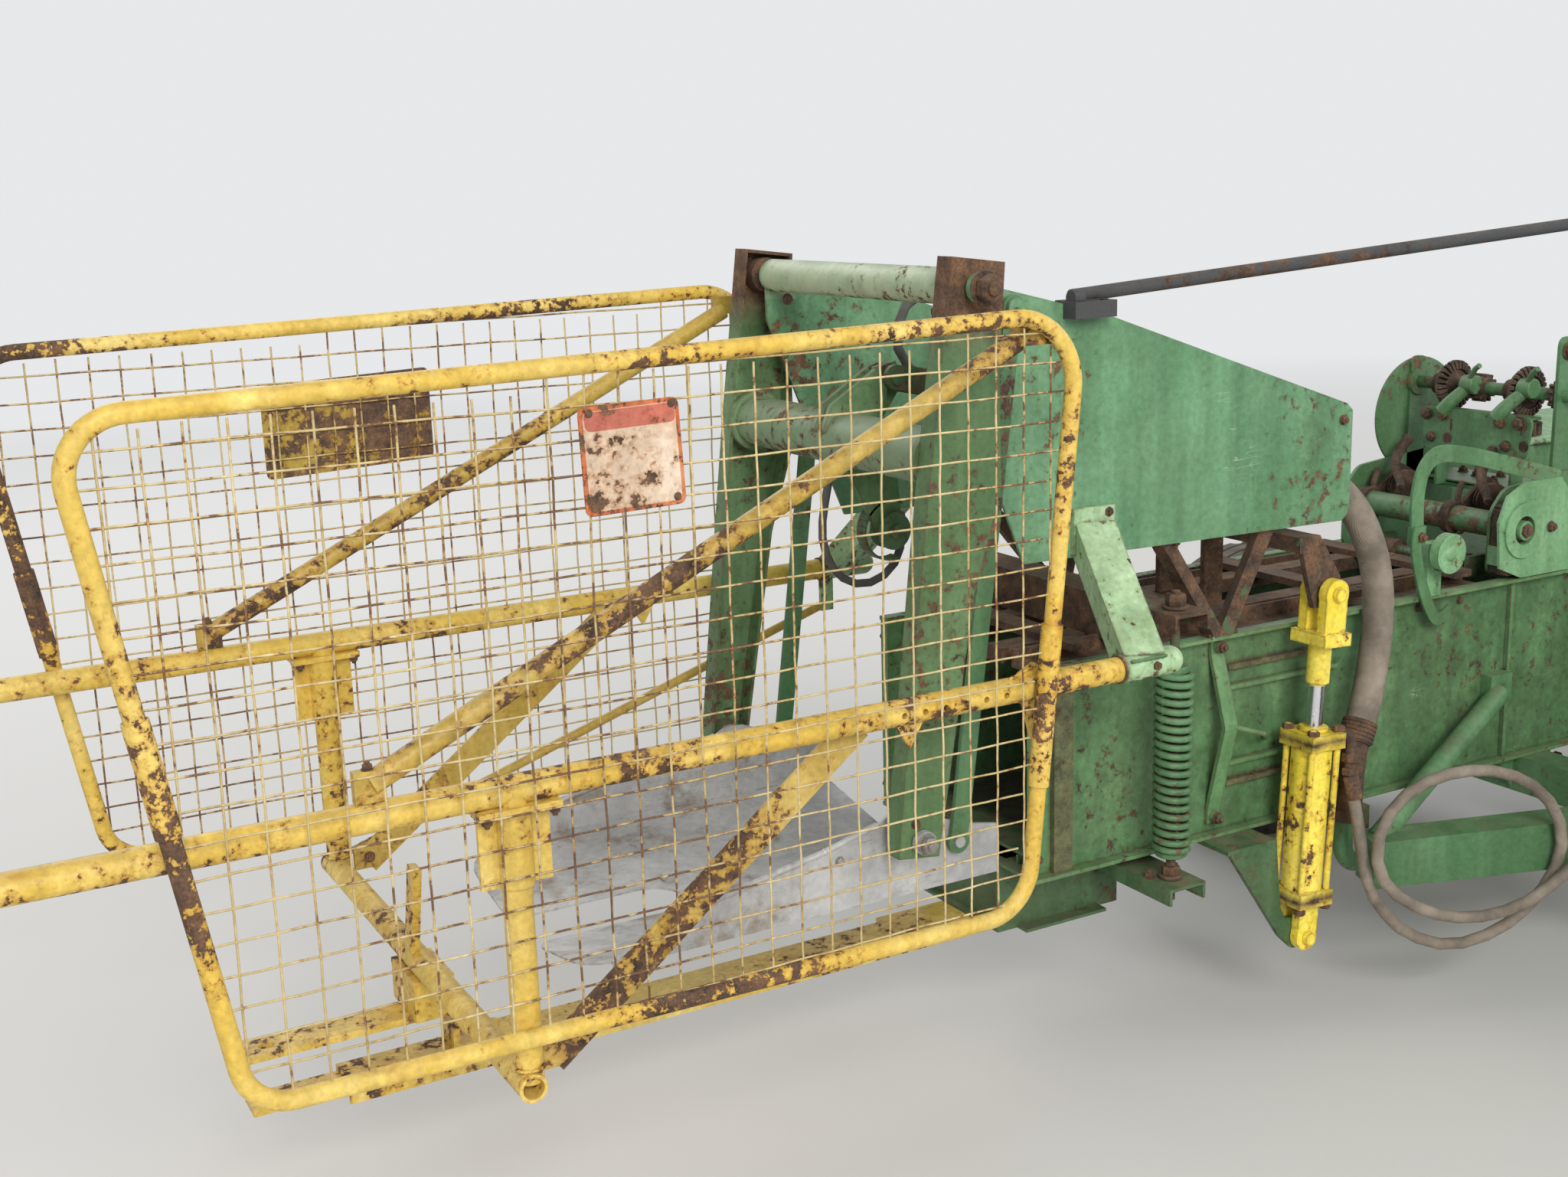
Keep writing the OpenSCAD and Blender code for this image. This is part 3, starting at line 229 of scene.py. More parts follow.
def makeCoatTone():  # paint that fades in clouds and downward runs
    tree, given, out = newGroup("coatTone", {"Coat": (0.1, 0.3, 0.12, 1), "Faded": (0.3, 0.45, 0.3, 1), "Fade": 0.4,
                                             "Shift": (0, 0, 0)}, ("Color", "Roughness"))
    vector = vectorMath(tree, "ADD", given["Vector"], given["Shift"])[0]
    clouds = noise(tree, vector, 3.4, 3.0, 0.62)
    runs = noise(tree, stretched(tree, vector, (17, 17, 1.7)), 1.0, 3.0, 0.6)
    mixed = plus(tree, times(tree, clouds, 0.62), times(tree, runs, 0.38))
    start = span(tree, given["Fade"], 0.0, 1.0, 0.62, 0.30)
    worn = span(tree, mixed, start, plus(tree, start, 0.26))
    grain = span(tree, noise(tree, vector, 95.0, 2.0, 0.6), 0.25, 0.75, 0.82, 1.16)
    streak = span(tree, runs, 0.3, 0.7, 0.88, 1.10)
    body = blend(tree, worn, given["Coat"], given["Faded"])
    fill(tree, out, {"Color": blend(tree, 1.0, body, grey(tree, times(tree, grain, streak)), "MULTIPLY"),
                     "Roughness": span(tree, worn, 0.0, 1.0, 0.44, 0.66)})
    return tree


def makeDust():  # grit on top faces and a thin film all over
    tree, given, out = newGroup("dust", {"Color": (0.5, 0.5, 0.5, 1), "Amount": 0.4}, ("Color", "Mask"))
    top = span(tree, facingUp(tree), 0.35, 0.95)
    grit = span(tree, noise(tree, given["Vector"], 15.0, 4.0, 0.7), 0.36, 0.62)
    film = span(tree, noise(tree, given["Vector"], 5.0, 3.0, 0.6), 0.4, 0.75)
    total = largest(tree, times(tree, times(tree, top, grit), given["Amount"]),
                    times(tree, film, times(tree, given["Amount"], 0.38)))
    fill(tree, out, {"Color": blend(tree, total, given["Color"], dustTone), "Mask": total})
    return tree


def makeZone():  # a ragged box round one place
    tree, given, out = newGroup("zone", {"Centre": (0, 0, 0), "Half": (0, 0, 0), "Softness": 0.03}, ("Mask",))
    away = vectorMath(tree, "SUBTRACT", given["Vector"], given["Centre"])[0]
    over = vectorMath(tree, "SUBTRACT", vectorMath(tree, "ABSOLUTE", away)[0], given["Half"])[0]
    worst = largest(tree, *add(tree, "SeparateXYZ", {0: over}).outputs)
    wobble = minus(tree, noise(tree, given["Vector"], 30.0, 3.0, 0.7), 0.5)
    edge = plus(tree, worst, times(tree, wobble, times(tree, given["Softness"], 2.0)))
    fill(tree, out, {"Mask": span(tree, edge, given["Softness"], times(tree, given["Softness"], -1.0))})
    return tree


def makeScratches():  # thin lines in three directions, in a few places
    tree, given, out = newGroup("scratches", {"Scale": 5.0, "Amount": 0.5}, ("Mask",))
    masks = []
    for turn in scratchLines["turns"]:
        lying = stretched(tree, given["Vector"], scratchLines["stretch"], (0, turn, 0))
        line = noise(tree, vectorMath(tree, "ADD", lying, (turn * 7, 0, 0))[0], given["Scale"], 2.0, 0.5, 0.4)
        off = calc(tree, "ABSOLUTE", minus(tree, line, scratchLines["level"]))
        masks.append(span(tree, off, scratchLines["width"], 0.0))
    start = span(tree, given["Amount"], 0.0, 1.0, 0.75, 0.40)
    gate = span(tree, noise(tree, given["Vector"], 9.0, 2.0, 0.6), start, plus(tree, start, 0.08))
    fill(tree, out, {"Mask": times(tree, largest(tree, *masks), gate)})
    return tree


effects = {"wear": makeWear(), "edges": makeEdges(), "rustTone": makeRustTone(), "coatTone": makeCoatTone(),
           "dust": makeDust(), "zone": makeZone(), "scratches": makeScratches()}
print("shared effects built")

# Materials


def startMaterial(name):
    made = bpy.data.materials.new(name)
    made.use_nodes = True
    tree = made.node_tree
    return made, tree, tree.nodes["Principled BSDF"], add(tree, "TexCoord").outputs["Object"]


def paintedSteel(name, look):
    made, tree, shader, vector = startMaterial(name)
    shift = tuple(look["seed"] * step for step in (1.7, -0.9, 0.6))

    def zone(place, softness):
        return useGroup(tree, "zone", vector, Centre=place[0], Half=place[1], Softness=softness)["Mask"]

    tone = useGroup(tree, "coatTone", vector, Coat=look["coat"], Faded=look["faded"], Fade=look["fade"], Shift=shift)
    rust = useGroup(tree, "rustTone", vector, Scale=look["rustScale"], Warmth=look["warmth"])
    body = tone["Color"]
    for place in look["repaint"]:
        body = blend(tree, zone(place, look["repaintSoft"]), body, place[2])
    if look["scratches"]:
        lines = useGroup(tree, "scratches", vector, Scale=look["scratchScale"], Amount=look["scratches"])["Mask"]
        body = blend(tree, times(tree, lines, look["scratchShow"]), body, look["scratchTone"])
    patches = useGroup(tree, "wear", vector, Scale=look["patchScale"], Cover=look["cover"], Softness=look["wearSoft"],
                       Gather=0.3, Under=0.02, Shift=shift)
    chips = useGroup(tree, "wear", vector, Scale=look["chipScale"], Cover=look["chips"], Softness=look["wearSoft"],
                     Gather=look["gather"], Under=look["under"], Shift=shift)
    halo = times(tree, largest(tree, patches["Halo"], chips["Halo"]), look["stain"])
    body = blend(tree, halo, body, blend(tree, 1.0, body, look["stainTone"], "MULTIPLY"))
    bare = largest(tree, patches["Mask"], chips["Mask"])
    if look["edges"]:
        edge = useGroup(tree, "edges", vector, Width=look["edgeWidth"], Amount=look["edges"])["Mask"]
        bare = largest(tree, bare, edge)
    bare = largest(tree, bare, *[zone(place, look["zoneSoft"]) for place in look["rusted"]])
    dusty = useGroup(tree, "dust", vector, Color=blend(tree, bare, body, rust["Color"]), Amount=look["dust"])
    shown = dusty["Color"]
    # painted shade: listed zones are blended towards a near-black tone that stands in for the shade inside the bale
    # case
    for place in look["grime"]:
        shown = blend(tree, times(tree, zone(place, look["grimeSoft"]), look["grimeShow"]), shown, look["grimeTone"])
    rough = between(tree, bare, tone["Roughness"], rust["Roughness"])
    rough = largest(tree, rough, times(tree, dusty["Mask"], look["dustRough"]))
    for place in look["polished"]:
        bar = zone(place, look["barSoft"])
        shown = blend(tree, bar, shown, look["barTone"])
        rough = between(tree, bar, rough, look["barRough"])
        tree.links.new(bar, shader.inputs["Metallic"])
    fill(tree, shader, {"Base Color": shown, "Roughness": rough, "Specular IOR Level": look["gloss"]})
    height = onto(tree, times(tree, chips["Mask"], look["chipDepth"]), noise(tree, vector, look["grain"], 2.0, 0.7),
                  look["grainHeight"])
    height = onto(tree, height, noise(tree, vector, look["dents"], 1.0, 0.5), look["dentHeight"])
    relief(tree, shader, height, look)
    return made


def bareIron(name, look):
    made, tree, shader, vector = startMaterial(name)
    rust = useGroup(tree, "rustTone", vector, Scale=look["scale"], Warmth=look["warmth"])
    left = useGroup(tree, "wear", vector, Scale=look["leftScale"], Cover=look["paintLeft"], Softness=0.05, Gather=0.5,
                    Under=-0.1, Shift=(2, 3, 1))["Mask"]
    body = blend(tree, left, rust["Color"], look["paint"])
    if look["shine"]:
        edge = useGroup(tree, "edges", vector, Width=0.004, Amount=0.7)["Mask"]
        body = blend(tree, times(tree, edge, look["shine"]), body, look["shineTone"])
    dusty = useGroup(tree, "dust", vector, Color=body, Amount=look["dust"])
    fill(tree, shader, {"Base Color": dusty["Color"], "Roughness": rust["Roughness"], "Metallic": look["metal"]})
    pits = noise(tree, vector, look["scale"], 2.0, 0.7)
    relief(tree, shader, onto(tree, pits, noise(tree, vector, look["grain"], 2.0, 0.7), look["grainHeight"]), look)
    return made


def zincSheet(name, look):
    made, tree, shader, vector = startMaterial(name)
    clouds = noise(tree, vector, look["clouds"], 4.0, 0.62)
    fine = span(tree, noise(tree, vector, look["grain"], 3.0, 0.6), 0.25, 0.75, 0.86, 1.12)
    body = blend(tree, span(tree, clouds, 0.36, 0.64), look["bright"], look["dull"])
    body = blend(tree, 1.0, body, grey(tree, fine), "MULTIPLY")
    mud = useGroup(tree, "wear", vector, Scale=look["mudScale"], Cover=look["stain"], Softness=0.16, Gather=0.5,
                   Under=0.0, Shift=(4, 1, 6))["Mask"]
    body = blend(tree, times(tree, mud, look["mudShow"]), body, look["mud"])
    drawn = stretched(tree, vector, (0.6, 3.0, 1.0))
    lines = useGroup(tree, "scratches", drawn, Scale=9.0, Amount=0.8)["Mask"]
    body = blend(tree, times(tree, lines, 0.5), body, look["scratchTone"])
    edge = useGroup(tree, "edges", vector, Width=0.005, Amount=0.5)["Mask"]
    body = blend(tree, edge, body, useGroup(tree, "rustTone", vector, Scale=40.0, Warmth=0.6)["Color"])
    fill(tree, shader, {"Base Color": body, "Roughness": span(tree, clouds, 0.3, 0.7, 0.40, 0.66),
                        "Metallic": look["metal"]})
    relief(tree, shader, onto(tree, times(tree, fine, 0.1), noise(tree, vector, look["dents"], 2.0, 0.5), 1.6), look)
    return made


def rubber(name, look):
    made, tree, shader, vector = startMaterial(name)
    clouds = noise(tree, vector, look["scale"], 4.0, 0.65)
    body = blend(tree, span(tree, clouds, 0.35, 0.7), look["dark"], look["pale"])
    dusty = useGroup(tree, "dust", vector, Color=body, Amount=look["dust"])
    fill(tree, shader, {"Base Color": dusty["Color"], "Roughness": span(tree, clouds, 0.3, 0.7, 0.64, 0.88)})
    across = stretched(tree, vector, (1, 1, 1), (0.7, 0.4, 0.2))
    cords = add(tree, "TexWave", {"Vector": across, "Scale": look["cords"], "Distortion": 1.5, "Detail": 1.0})
    fine = noise(tree, vector, look["grain"], 3.0, 0.7)
    relief(tree, shader, onto(tree, fine, cords.outputs["Fac"], look["weave"]), look)
    return made


paintLook = {
    "seed": 0.0, "fade": 0.5, "gloss": 0.4, "dust": 0.4, "dustRough": 0.95, "rustScale": 30.0, "warmth": 0.5,
    "patchScale": 6.0, "cover": 0.10,  # large bare patches
    "chipScale": 46.0, "chips": 0.20, "gather": 0.7, "under": 0.08, "wearSoft": 0.03,  # small chips
    "stain": 0.5, "stainTone": (0.62, 0.50, 0.38, 1), "edges": 0.0, "edgeWidth": 0.006,
    "scratches": 0.0, "scratchScale": 5.0, "scratchShow": 0.7, "scratchTone": (0.46, 0.55, 0.42, 1),
    "repaint": (), "repaintSoft": 0.012, "rusted": (), "zoneSoft": 0.03,
    # painted shade zones, their softness, strength and near-black tone
    "grime": (), "grimeSoft": 0.02, "grimeShow": 0.93, "grimeTone": (0.026, 0.022, 0.016, 1),
    "polished": (), "barSoft": 0.002, "barTone": (0.66, 0.66, 0.69, 1), "barRough": 0.2,
    "grain": 240.0, "grainHeight": 0.22, "chipDepth": -0.45, "dents": 26.0, "dentHeight": 0.9,
    "bump": 0.5, "bumpDepth": 0.0017,
}
greenLook = {**paintLook, "coat": (0.072, 0.180, 0.074, 1), "faded": (0.140, 0.285, 0.135, 1)}
yellowLook = {**paintLook, "coat": (0.70, 0.47, 0.075, 1), "faded": (0.80, 0.645, 0.225, 1), "cover": 0.06,
              "chips": 0.32, "chipScale": 42.0, "gather": 0.8, "under": 0.085, "warmth": 0.42, "stain": 0.75,
              "stainTone": (0.66, 0.46, 0.30, 1), "dust": 0.25}
ironLook = {"scale": 26.0, "warmth": 0.38, "paintLeft": 0.14, "leftScale": 22.0, "paint": (0.075, 0.13, 0.06, 1),
            "dust": 0.35, "shine": 0.0, "shineTone": (0.33, 0.27, 0.22, 1), "metal": 0.1, "grain": 320.0,
            "grainHeight": 0.5, "bump": 0.7, "bumpDepth": 0.0018}
sheetLook = {"clouds": 4.5, "grain": 70.0, "mudScale": 11.0, "mudShow": 0.85, "scratchTone": (0.16, 0.13, 0.10, 1),
             "dents": 8.0, "bump": 0.6, "bumpDepth": 0.004}
rubberLook = {"scale": 14.0, "cords": 180.0, "grain": 90.0, "bump": 0.5, "bumpDepth": 0.0012}


def look(base, **changes):
    return {**base, **changes}


def spot(x, y, z, halfX, halfY, halfZ):  # a zone's centre and half sizes, in millimetres
    return tuple(at(x, y, z)), (halfX / 1000, halfY / 1000, halfZ / 1000)


# the bale case's inside, where the case walls, floor and top get painted shade
insideCase = spot(2850, 0, 604, 1290, 228.9, 196)
plateTube = (*spot(1247, 0, 1483, 34, 288, 34), (0.47, 0.54, 0.36, 1))
armTube = (*spot(1212, 0, 1212, 54, 306, 54), (0.195, 0.290, 0.165, 1))

finishes = {
    "green": paintedSteel("weatheredGreen", greenLook),
    "greenWorn": paintedSteel("wornGreen", look(
        greenLook, coat=(0.056, 0.128, 0.052, 1), faded=(0.110, 0.205, 0.092, 1), cover=0.24, chips=0.32, dust=0.6,
        seed=2.0, grime=[insideCase])),
    "greenPlate": paintedSteel("sidePlateGreen", look(
        greenLook, coat=(0.100, 0.232, 0.112, 1), faded=(0.172, 0.350, 0.195, 1), cover=0.05, chips=0.20, edges=0.55,
        fade=0.6, dust=0.28, scratches=0.42, seed=4.0, repaint=[plateTube])),
    "greenWall": paintedSteel("caseGreen", look(
        greenLook, coat=(0.108, 0.250, 0.100, 1), faded=(0.190, 0.375, 0.168, 1), cover=0.12, chips=0.27, edges=0.8,
        fade=0.5, dust=0.45, scratches=0.35, seed=6.0, grime=[insideCase], zoneSoft=0.006,
        rusted=[spot(1514, -241, 603, 22, 8, 205), spot(1514, 241, 603, 22, 8, 205),
                spot(2050, -242, 505, 145, 8, 8), spot(2050, -242, 735, 145, 8, 7)])),
    "greenPale": paintedSteel("bleachedGreen", look(
        greenLook, coat=(0.32, 0.50, 0.27, 1), faded=(0.53, 0.70, 0.44, 1), fade=0.62, cover=0.10, chips=0.24,
        edges=0.7, dust=0.3, seed=7.0, stainTone=(0.62, 0.55, 0.36, 1), zoneSoft=0.004,
        rusted=[spot(1437, 484, 860, 7, 40, 40), spot(1437, -484, 860, 7, 40, 40)])),
    "greenFresh": paintedSteel("hoodGreen", look(
        greenLook, coat=(0.135, 0.315, 0.140, 1), faded=(0.265, 0.470, 0.260, 1), cover=0.03, chips=0.18, fade=0.55,
        dust=0.3, seed=8.0)),
    "arms": paintedSteel("armGreen", look(
        greenLook, coat=(0.086, 0.175, 0.068, 1), faded=(0.162, 0.275, 0.132, 1), fade=0.52, cover=0.09, chips=0.22,
        edges=0.7, dust=0.4, seed=9.0, zoneSoft=0.035, repaint=[armTube],
        rusted=[spot(1247, -340, 1490, 95, 100, 80), spot(1247, 340, 1490, 95, 100, 80)])),
    "yellow": paintedSteel("weatheredYellow", look(
        yellowLook, coat=(0.50, 0.335, 0.060, 1), faded=(0.66, 0.49, 0.15, 1))),
    "yellowRail": paintedSteel("railYellow", look(yellowLook, cover=0.12, gather=0.9, seed=3.0)),
    "yellowFrame": paintedSteel("screenYellow", look(
        yellowLook, cover=0.15, chips=0.38, chipScale=60.0, gather=1.1, seed=1.0)),
    "yellowClean": paintedSteel("cylinderYellow", look(
        yellowLook, coat=(0.90, 0.70, 0.06, 1), faded=(0.97, 0.83, 0.20, 1), cover=0.04, chips=0.22, edges=0.7,
        gather=0.6, dust=0.12, seed=5.0, zoneSoft=0.010,
        rusted=[spot(2053, 0, 590, 60, 400, 8), spot(2036, 0, 276, 60, 400, 9)])),
    "rodYellow": paintedSteel("rodYellow", look(
        yellowLook, coat=(0.90, 0.70, 0.06, 1), faded=(0.97, 0.83, 0.20, 1), cover=0.05, chips=0.30, edges=0.7,
        gather=0.6, dust=0.12, seed=5.5, polished=[spot(2056, 0, 640, 40, 400, 54)])),
    "wire": paintedSteel("wireCream", look(
        yellowLook, coat=(0.56, 0.44, 0.20, 1), faded=(0.70, 0.60, 0.36, 1), cover=0.10, chips=0.36, chipScale=30.0,
        gather=0.5, warmth=0.55)),
    "signEdge": paintedSteel("signEdge", look(
        yellowLook, coat=(0.60, 0.17, 0.06, 1), faded=(0.66, 0.30, 0.14, 1), cover=0.22, chips=0.36)),
    "signField": paintedSteel("signField", look(
        yellowLook, coat=(0.66, 0.50, 0.36, 1), faded=(0.74, 0.62, 0.50, 1), cover=0.10, chips=0.28, scratches=0.5,
        scratchTone=(0.45, 0.33, 0.24, 1))),
    "signRed": paintedSteel("signRed", look(
        yellowLook, coat=(0.50, 0.14, 0.095, 1), faded=(0.54, 0.27, 0.19, 1), cover=0.12, chips=0.28)),
    "signOld": paintedSteel("oldPlate", look(
        yellowLook, coat=(0.40, 0.28, 0.035, 1), faded=(0.50, 0.37, 0.09, 1), cover=0.36, chips=0.48)),
    "iron": bareIron("rustyIron", ironLook),
    "ironDark": bareIron("darkIron", look(ironLook, warmth=0.10, scale=30.0, paintLeft=0.05, metal=0.35, shine=0.5)),
    "ironBright": bareIron("orangeIron", look(ironLook, warmth=0.72, paint=(0.5, 0.36, 0.08, 1), dust=0.15)),
    "black": bareIron("blackPipe", look(
        ironLook, scale=20.0, warmth=0.2, paintLeft=0.85, paint=(0.060, 0.062, 0.066, 1), metal=0.15)),
    "zinc": zincSheet("zincSheet", look(
        sheetLook, bright=(0.60, 0.60, 0.60, 1), dull=(0.40, 0.40, 0.40, 1), stain=0.42, mud=(0.24, 0.185, 0.125, 1),
        metal=0.3)),
    "steel": zincSheet("plainSteel", look(
        sheetLook, bright=(0.42, 0.41, 0.40, 1), dull=(0.28, 0.26, 0.24, 1), stain=0.35, mud=(0.17, 0.12, 0.08, 1),
        metal=0.6)),
    "tyre": rubber("tyreRubber", look(
        rubberLook, dark=(0.020, 0.019, 0.018, 1), pale=(0.060, 0.055, 0.050, 1), scale=7.0, dust=0.5, weave=0.0)),
    "hose": rubber("hoseRubber", look(
        rubberLook, dark=(0.15, 0.125, 0.095, 1), pale=(0.35, 0.295, 0.235, 1), dust=0.2, weave=0.8)),
    "hoseDark": rubber("darkHose", look(
        rubberLook, dark=(0.035, 0.035, 0.036, 1), pale=(0.12, 0.115, 0.105, 1), dust=0.3, weave=0.5)),
}

nodesOf = {
    "green": "pan_links knotter_stand axle feeder_housing feeder_frame pickup_frame wind_guard flywheel tongue "
             "shaft_prop twine_box",
    "greenWorn": "case_floor case_top rear_frame tension_spring throw_barrel throw_rod feeder_auger pickup_bands "
                 "gauge_bracket gearcase tongue_hinge",
    "greenWall": "case_right case_left", "greenPlate": "side_plates", "greenPale": "rail_brackets",
    "greenFresh": "knotter_guard drive_shield twine_lid", "arms": "swing_arms",
    "yellow": "cage_braces left_rim right_rim drive_shaft jack_sleeve", "yellowRail": "cage_rails wagon_hitch",
    "yellowFrame": "cage_screens", "yellowClean": "tension_barrel", "rodYellow": "tension_rod",
    "wire": "cage_mesh", "signField": "sign_plates", "black": "control_pipe", "zinc": "pan", "steel": "jack_leg",
    "iron": "tension_rails plate_feet knotters needles pickup_reel plunger",
    "tyre": "left_tyre right_tyre gauge_wheel",
}


def dressNodes():
    for finish, names in nodesOf.items():
        for name in names.split():
            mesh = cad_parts[name].data
            mesh.materials.clear()
            mesh.materials.append(finishes[finish])


dressNodes()
print("finishes on the frame's nodes")

# Shape helpers: shapes are drawn in millimetres, and pieceFrom brings them to the frame

chance = random.Random(11)  # turns the bolts and sways the wires
upward, downward, forward, rearward = (0, 0, 1), (0, 0, -1), (1, 0, 0), (-1, 0, 0)
outward, inward = (0, 1, 0), (0, -1, 0)  # left and right where a part is made once


def pieceFrom(shape, name, finish, body="chassis", sharp=38):
    for corner in shape.verts:
        corner.co = at(*corner.co)
    bmesh.ops.recalc_face_normals(shape, faces=shape.faces)
    mesh = bpy.data.meshes.new(name)
    shape.to_mesh(mesh)
    shape.free()
    mesh.materials.append(finishes[finish])
    for face in mesh.polygons:
        face.use_smooth = True
    mesh.set_sharp_from_angle(angle=math.radians(sharp))
    piece = bpy.data.objects.new(name, mesh)
    bpy.context.scene.collection.objects.link(piece)
    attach(piece, body)
    return piece


def mirrored(value, side):
    if isinstance(value, list):
        return [mirrored(item, side) for item in value]
    isPoint = isinstance(value, tuple) and len(value) == 3
    return (value[0], value[1] * side, value[2]) if isPoint else value


def makePieces(pieces):  # "both" rows are made on the right and on the left, "once" rows as they stand
    shapes = {name: bmesh.new() for name in pieces}
    made = {}
    for side in (-1, 1):
        for name, piece in pieces.items():
            for maker, *values in piece.get("both", []):
                maker(shapes[name], *[mirrored(value, side) for value in values])
    for name, piece in pieces.items():
        for maker, *values in piece.get("once", []):
            maker(shapes[name], *values)
        made[name] = pieceFrom(shapes[name], name, piece["finish"], piece.get("body", "chassis"),
                               piece.get("sharp", 38))
        if "replaces" in piece:
            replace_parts(made[name], piece["replaces"])
    return made


def vectors(points):
    return [Vector(point) for point in points]


def crossAxes(axis):
    axis = Vector(axis).normalized()
    side = axis.orthogonal().normalized()
    return axis, side, axis.cross(side)


def ring(shape, centre, side, up, radius, sides, turn=0.0):
    angles = [turn + math.tau * k / sides for k in range(sides)]
    return [shape.verts.new(centre + (side * math.cos(a) + up * math.sin(a)) * radius) for a in angles]


def skin(shape, rings):
    for one, two in zip(rings, rings[1:]):
        for k in range(len(one)):
            after = (k + 1) % len(one)
            shape.faces.new((one[k], one[after], two[after], two[k]))
    shape.faces.new(rings[0])
    shape.faces.new(rings[-1])


def turned(shape, origin, axis, profile, sides=28):  # profile: how far along the axis, radius
    axis, side, up = crossAxes(axis)
    skin(shape, [ring(shape, Vector(origin) + axis * along, side, up, radius, sides) for along, radius in profile])


def drum(length, radius, drop, chamfer=2):
    return [(0, radius - drop), (chamfer, radius), (length - chamfer, radius), (length, radius - drop)]


def tubeAlong(shape, points, radius, sides=10):
    points, rings, side = vectors(points), [], None
    last = len(points) - 1
    for i, point in enumerate(points):
        ahead = (points[min(i + 1, last)] - points[max(i - 1, 0)]).normalized()
        side = ahead.orthogonal() if side is None else side - ahead * side.dot(ahead)
        side.normalize()
        thick = radius(i / last) if callable(radius) else radius
        rings.append(ring(shape, point, side, ahead.cross(side), thick, sides))
    skin(shape, rings)


def flowing(points, steps=8):  # a smooth line through every point
    points, path = vectors(points), []
    last = len(points) - 1
    for i in range(last):
        a, b, c, d = points[max(i - 1, 0)], points[i], points[i + 1], points[min(i + 2, last)]
        for t in (k / steps for k in range(steps)):
            path.append(0.5 * (2 * b + (c - a) * t + (2 * a - 5 * b + 4 * c - d) * t * t
                               + (3 * b - a - 3 * c + d) * t ** 3))
    return path + [points[-1]]


def bentTube(shape, points, steps, radius, sides):
    tubeAlong(shape, flowing(points, steps), radius, sides)


def nut(shape, centre, axis, flats, height, turn=0.0):
    axis, side, up = crossAxes(axis)
    corner = flats / math.sqrt(3)
    levels = [(0, 0.90), (height * 0.12, 1.0), (height * 0.86, 1.0), (height, 0.86)]
    skin(shape, [ring(shape, Vector(centre) + axis * along, side, up, corner * share, 6, turn)
                 for along, share in levels])


def bolt(shape, centre, axis, size=12, washer=True, stud=0.5):
    axis, top = Vector(axis).normalized(), Vector(centre)
    turn = chance.uniform(0, 1)
    if washer:
        turned(shape, top, axis, [(0, size * 1.05), (size * 0.12, size * 1.1), (size * 0.2, size * 1.05)], 18)
        top = top + axis * size * 0.2
    nut(shape, top, axis, size * 1.55, size * 0.75, turn)
    if stud:
        end = size * (0.75 + stud)
        turned(shape, top, axis, [(0, size * 0.46), (end * 0.94, size * 0.46), (end, size * 0.38)], 12)


def bolts(shape, places, *values):
    for place in places:
        bolt(shape, place, *values)


def leftBolts(shape, places, *values):  # the feeder takes these places on the right
    if places[0][1] > 0:
        bolts(shape, places, *values)


def rounded(corners, radius, steps=4):
    shaped = []
    for i, corner in enumerate(corners):
        before = (corners[i - 1] - corner).normalized()
        after = (corners[(i + 1) % len(corners)] - corner).normalized()
        start, end = corner + before * radius, corner + after * radius
        for t in (k / steps for k in range(steps + 1)):
            shaped.append(start.lerp(corner, t).lerp(corner.lerp(end, t), t))
    return shaped


def slab(shape, outline, offset, chamfer=0.0, radius=0.0):
    outline, offset = vectors(outline), Vector(offset)
    if radius:
        outline = rounded(outline, radius)
    middle = sum(outline, Vector()) / len(outline)
    levels = [(0.0, 1.0), (1.0, 1.0)]
    if chamfer:
        shrink = 1 - chamfer / max((p - middle).length for p in outline)
        edge = chamfer / offset.length
        levels = [(0.0, shrink), (edge, 1.0), (1 - edge, 1.0), (1.0, shrink)]
    skin(shape, [[shape.verts.new(middle + (p - middle) * share + offset * along) for p in outline]
                 for along, share in levels])


def block(shape, low, high, chamfer=0.0, radius=0.0):
    (x0, y0, z0), (x1, y1, z1) = low, high
    slab(shape, [(x0, y0, z0), (x1, y0, z0), (x1, y1, z0), (x0, y1, z0)], (0, 0, z1 - z0), chamfer, radius)


weld = {"pitch": 3.51, "valley": 0.72, "ripple": 0.28, "beat": 0.9, "sides": 7}


def bead(shape, start, end, radius):
    start, end = Vector(start), Vector(end)
    steps = max(4, int((end - start).length / weld["pitch"]))
    points = [start.lerp(end, i / steps) for i in range(steps + 1)]
    tubeAlong(shape, points, lambda t: radius * (weld["valley"] + weld["ripple"]
                                                 * abs(math.sin(t * steps * weld["beat"]))), weld["sides"])


def atSide(y, line):
    return [(x, y, z) for x, z in line]


# Hoses, each on one smooth route from fitting to fitting

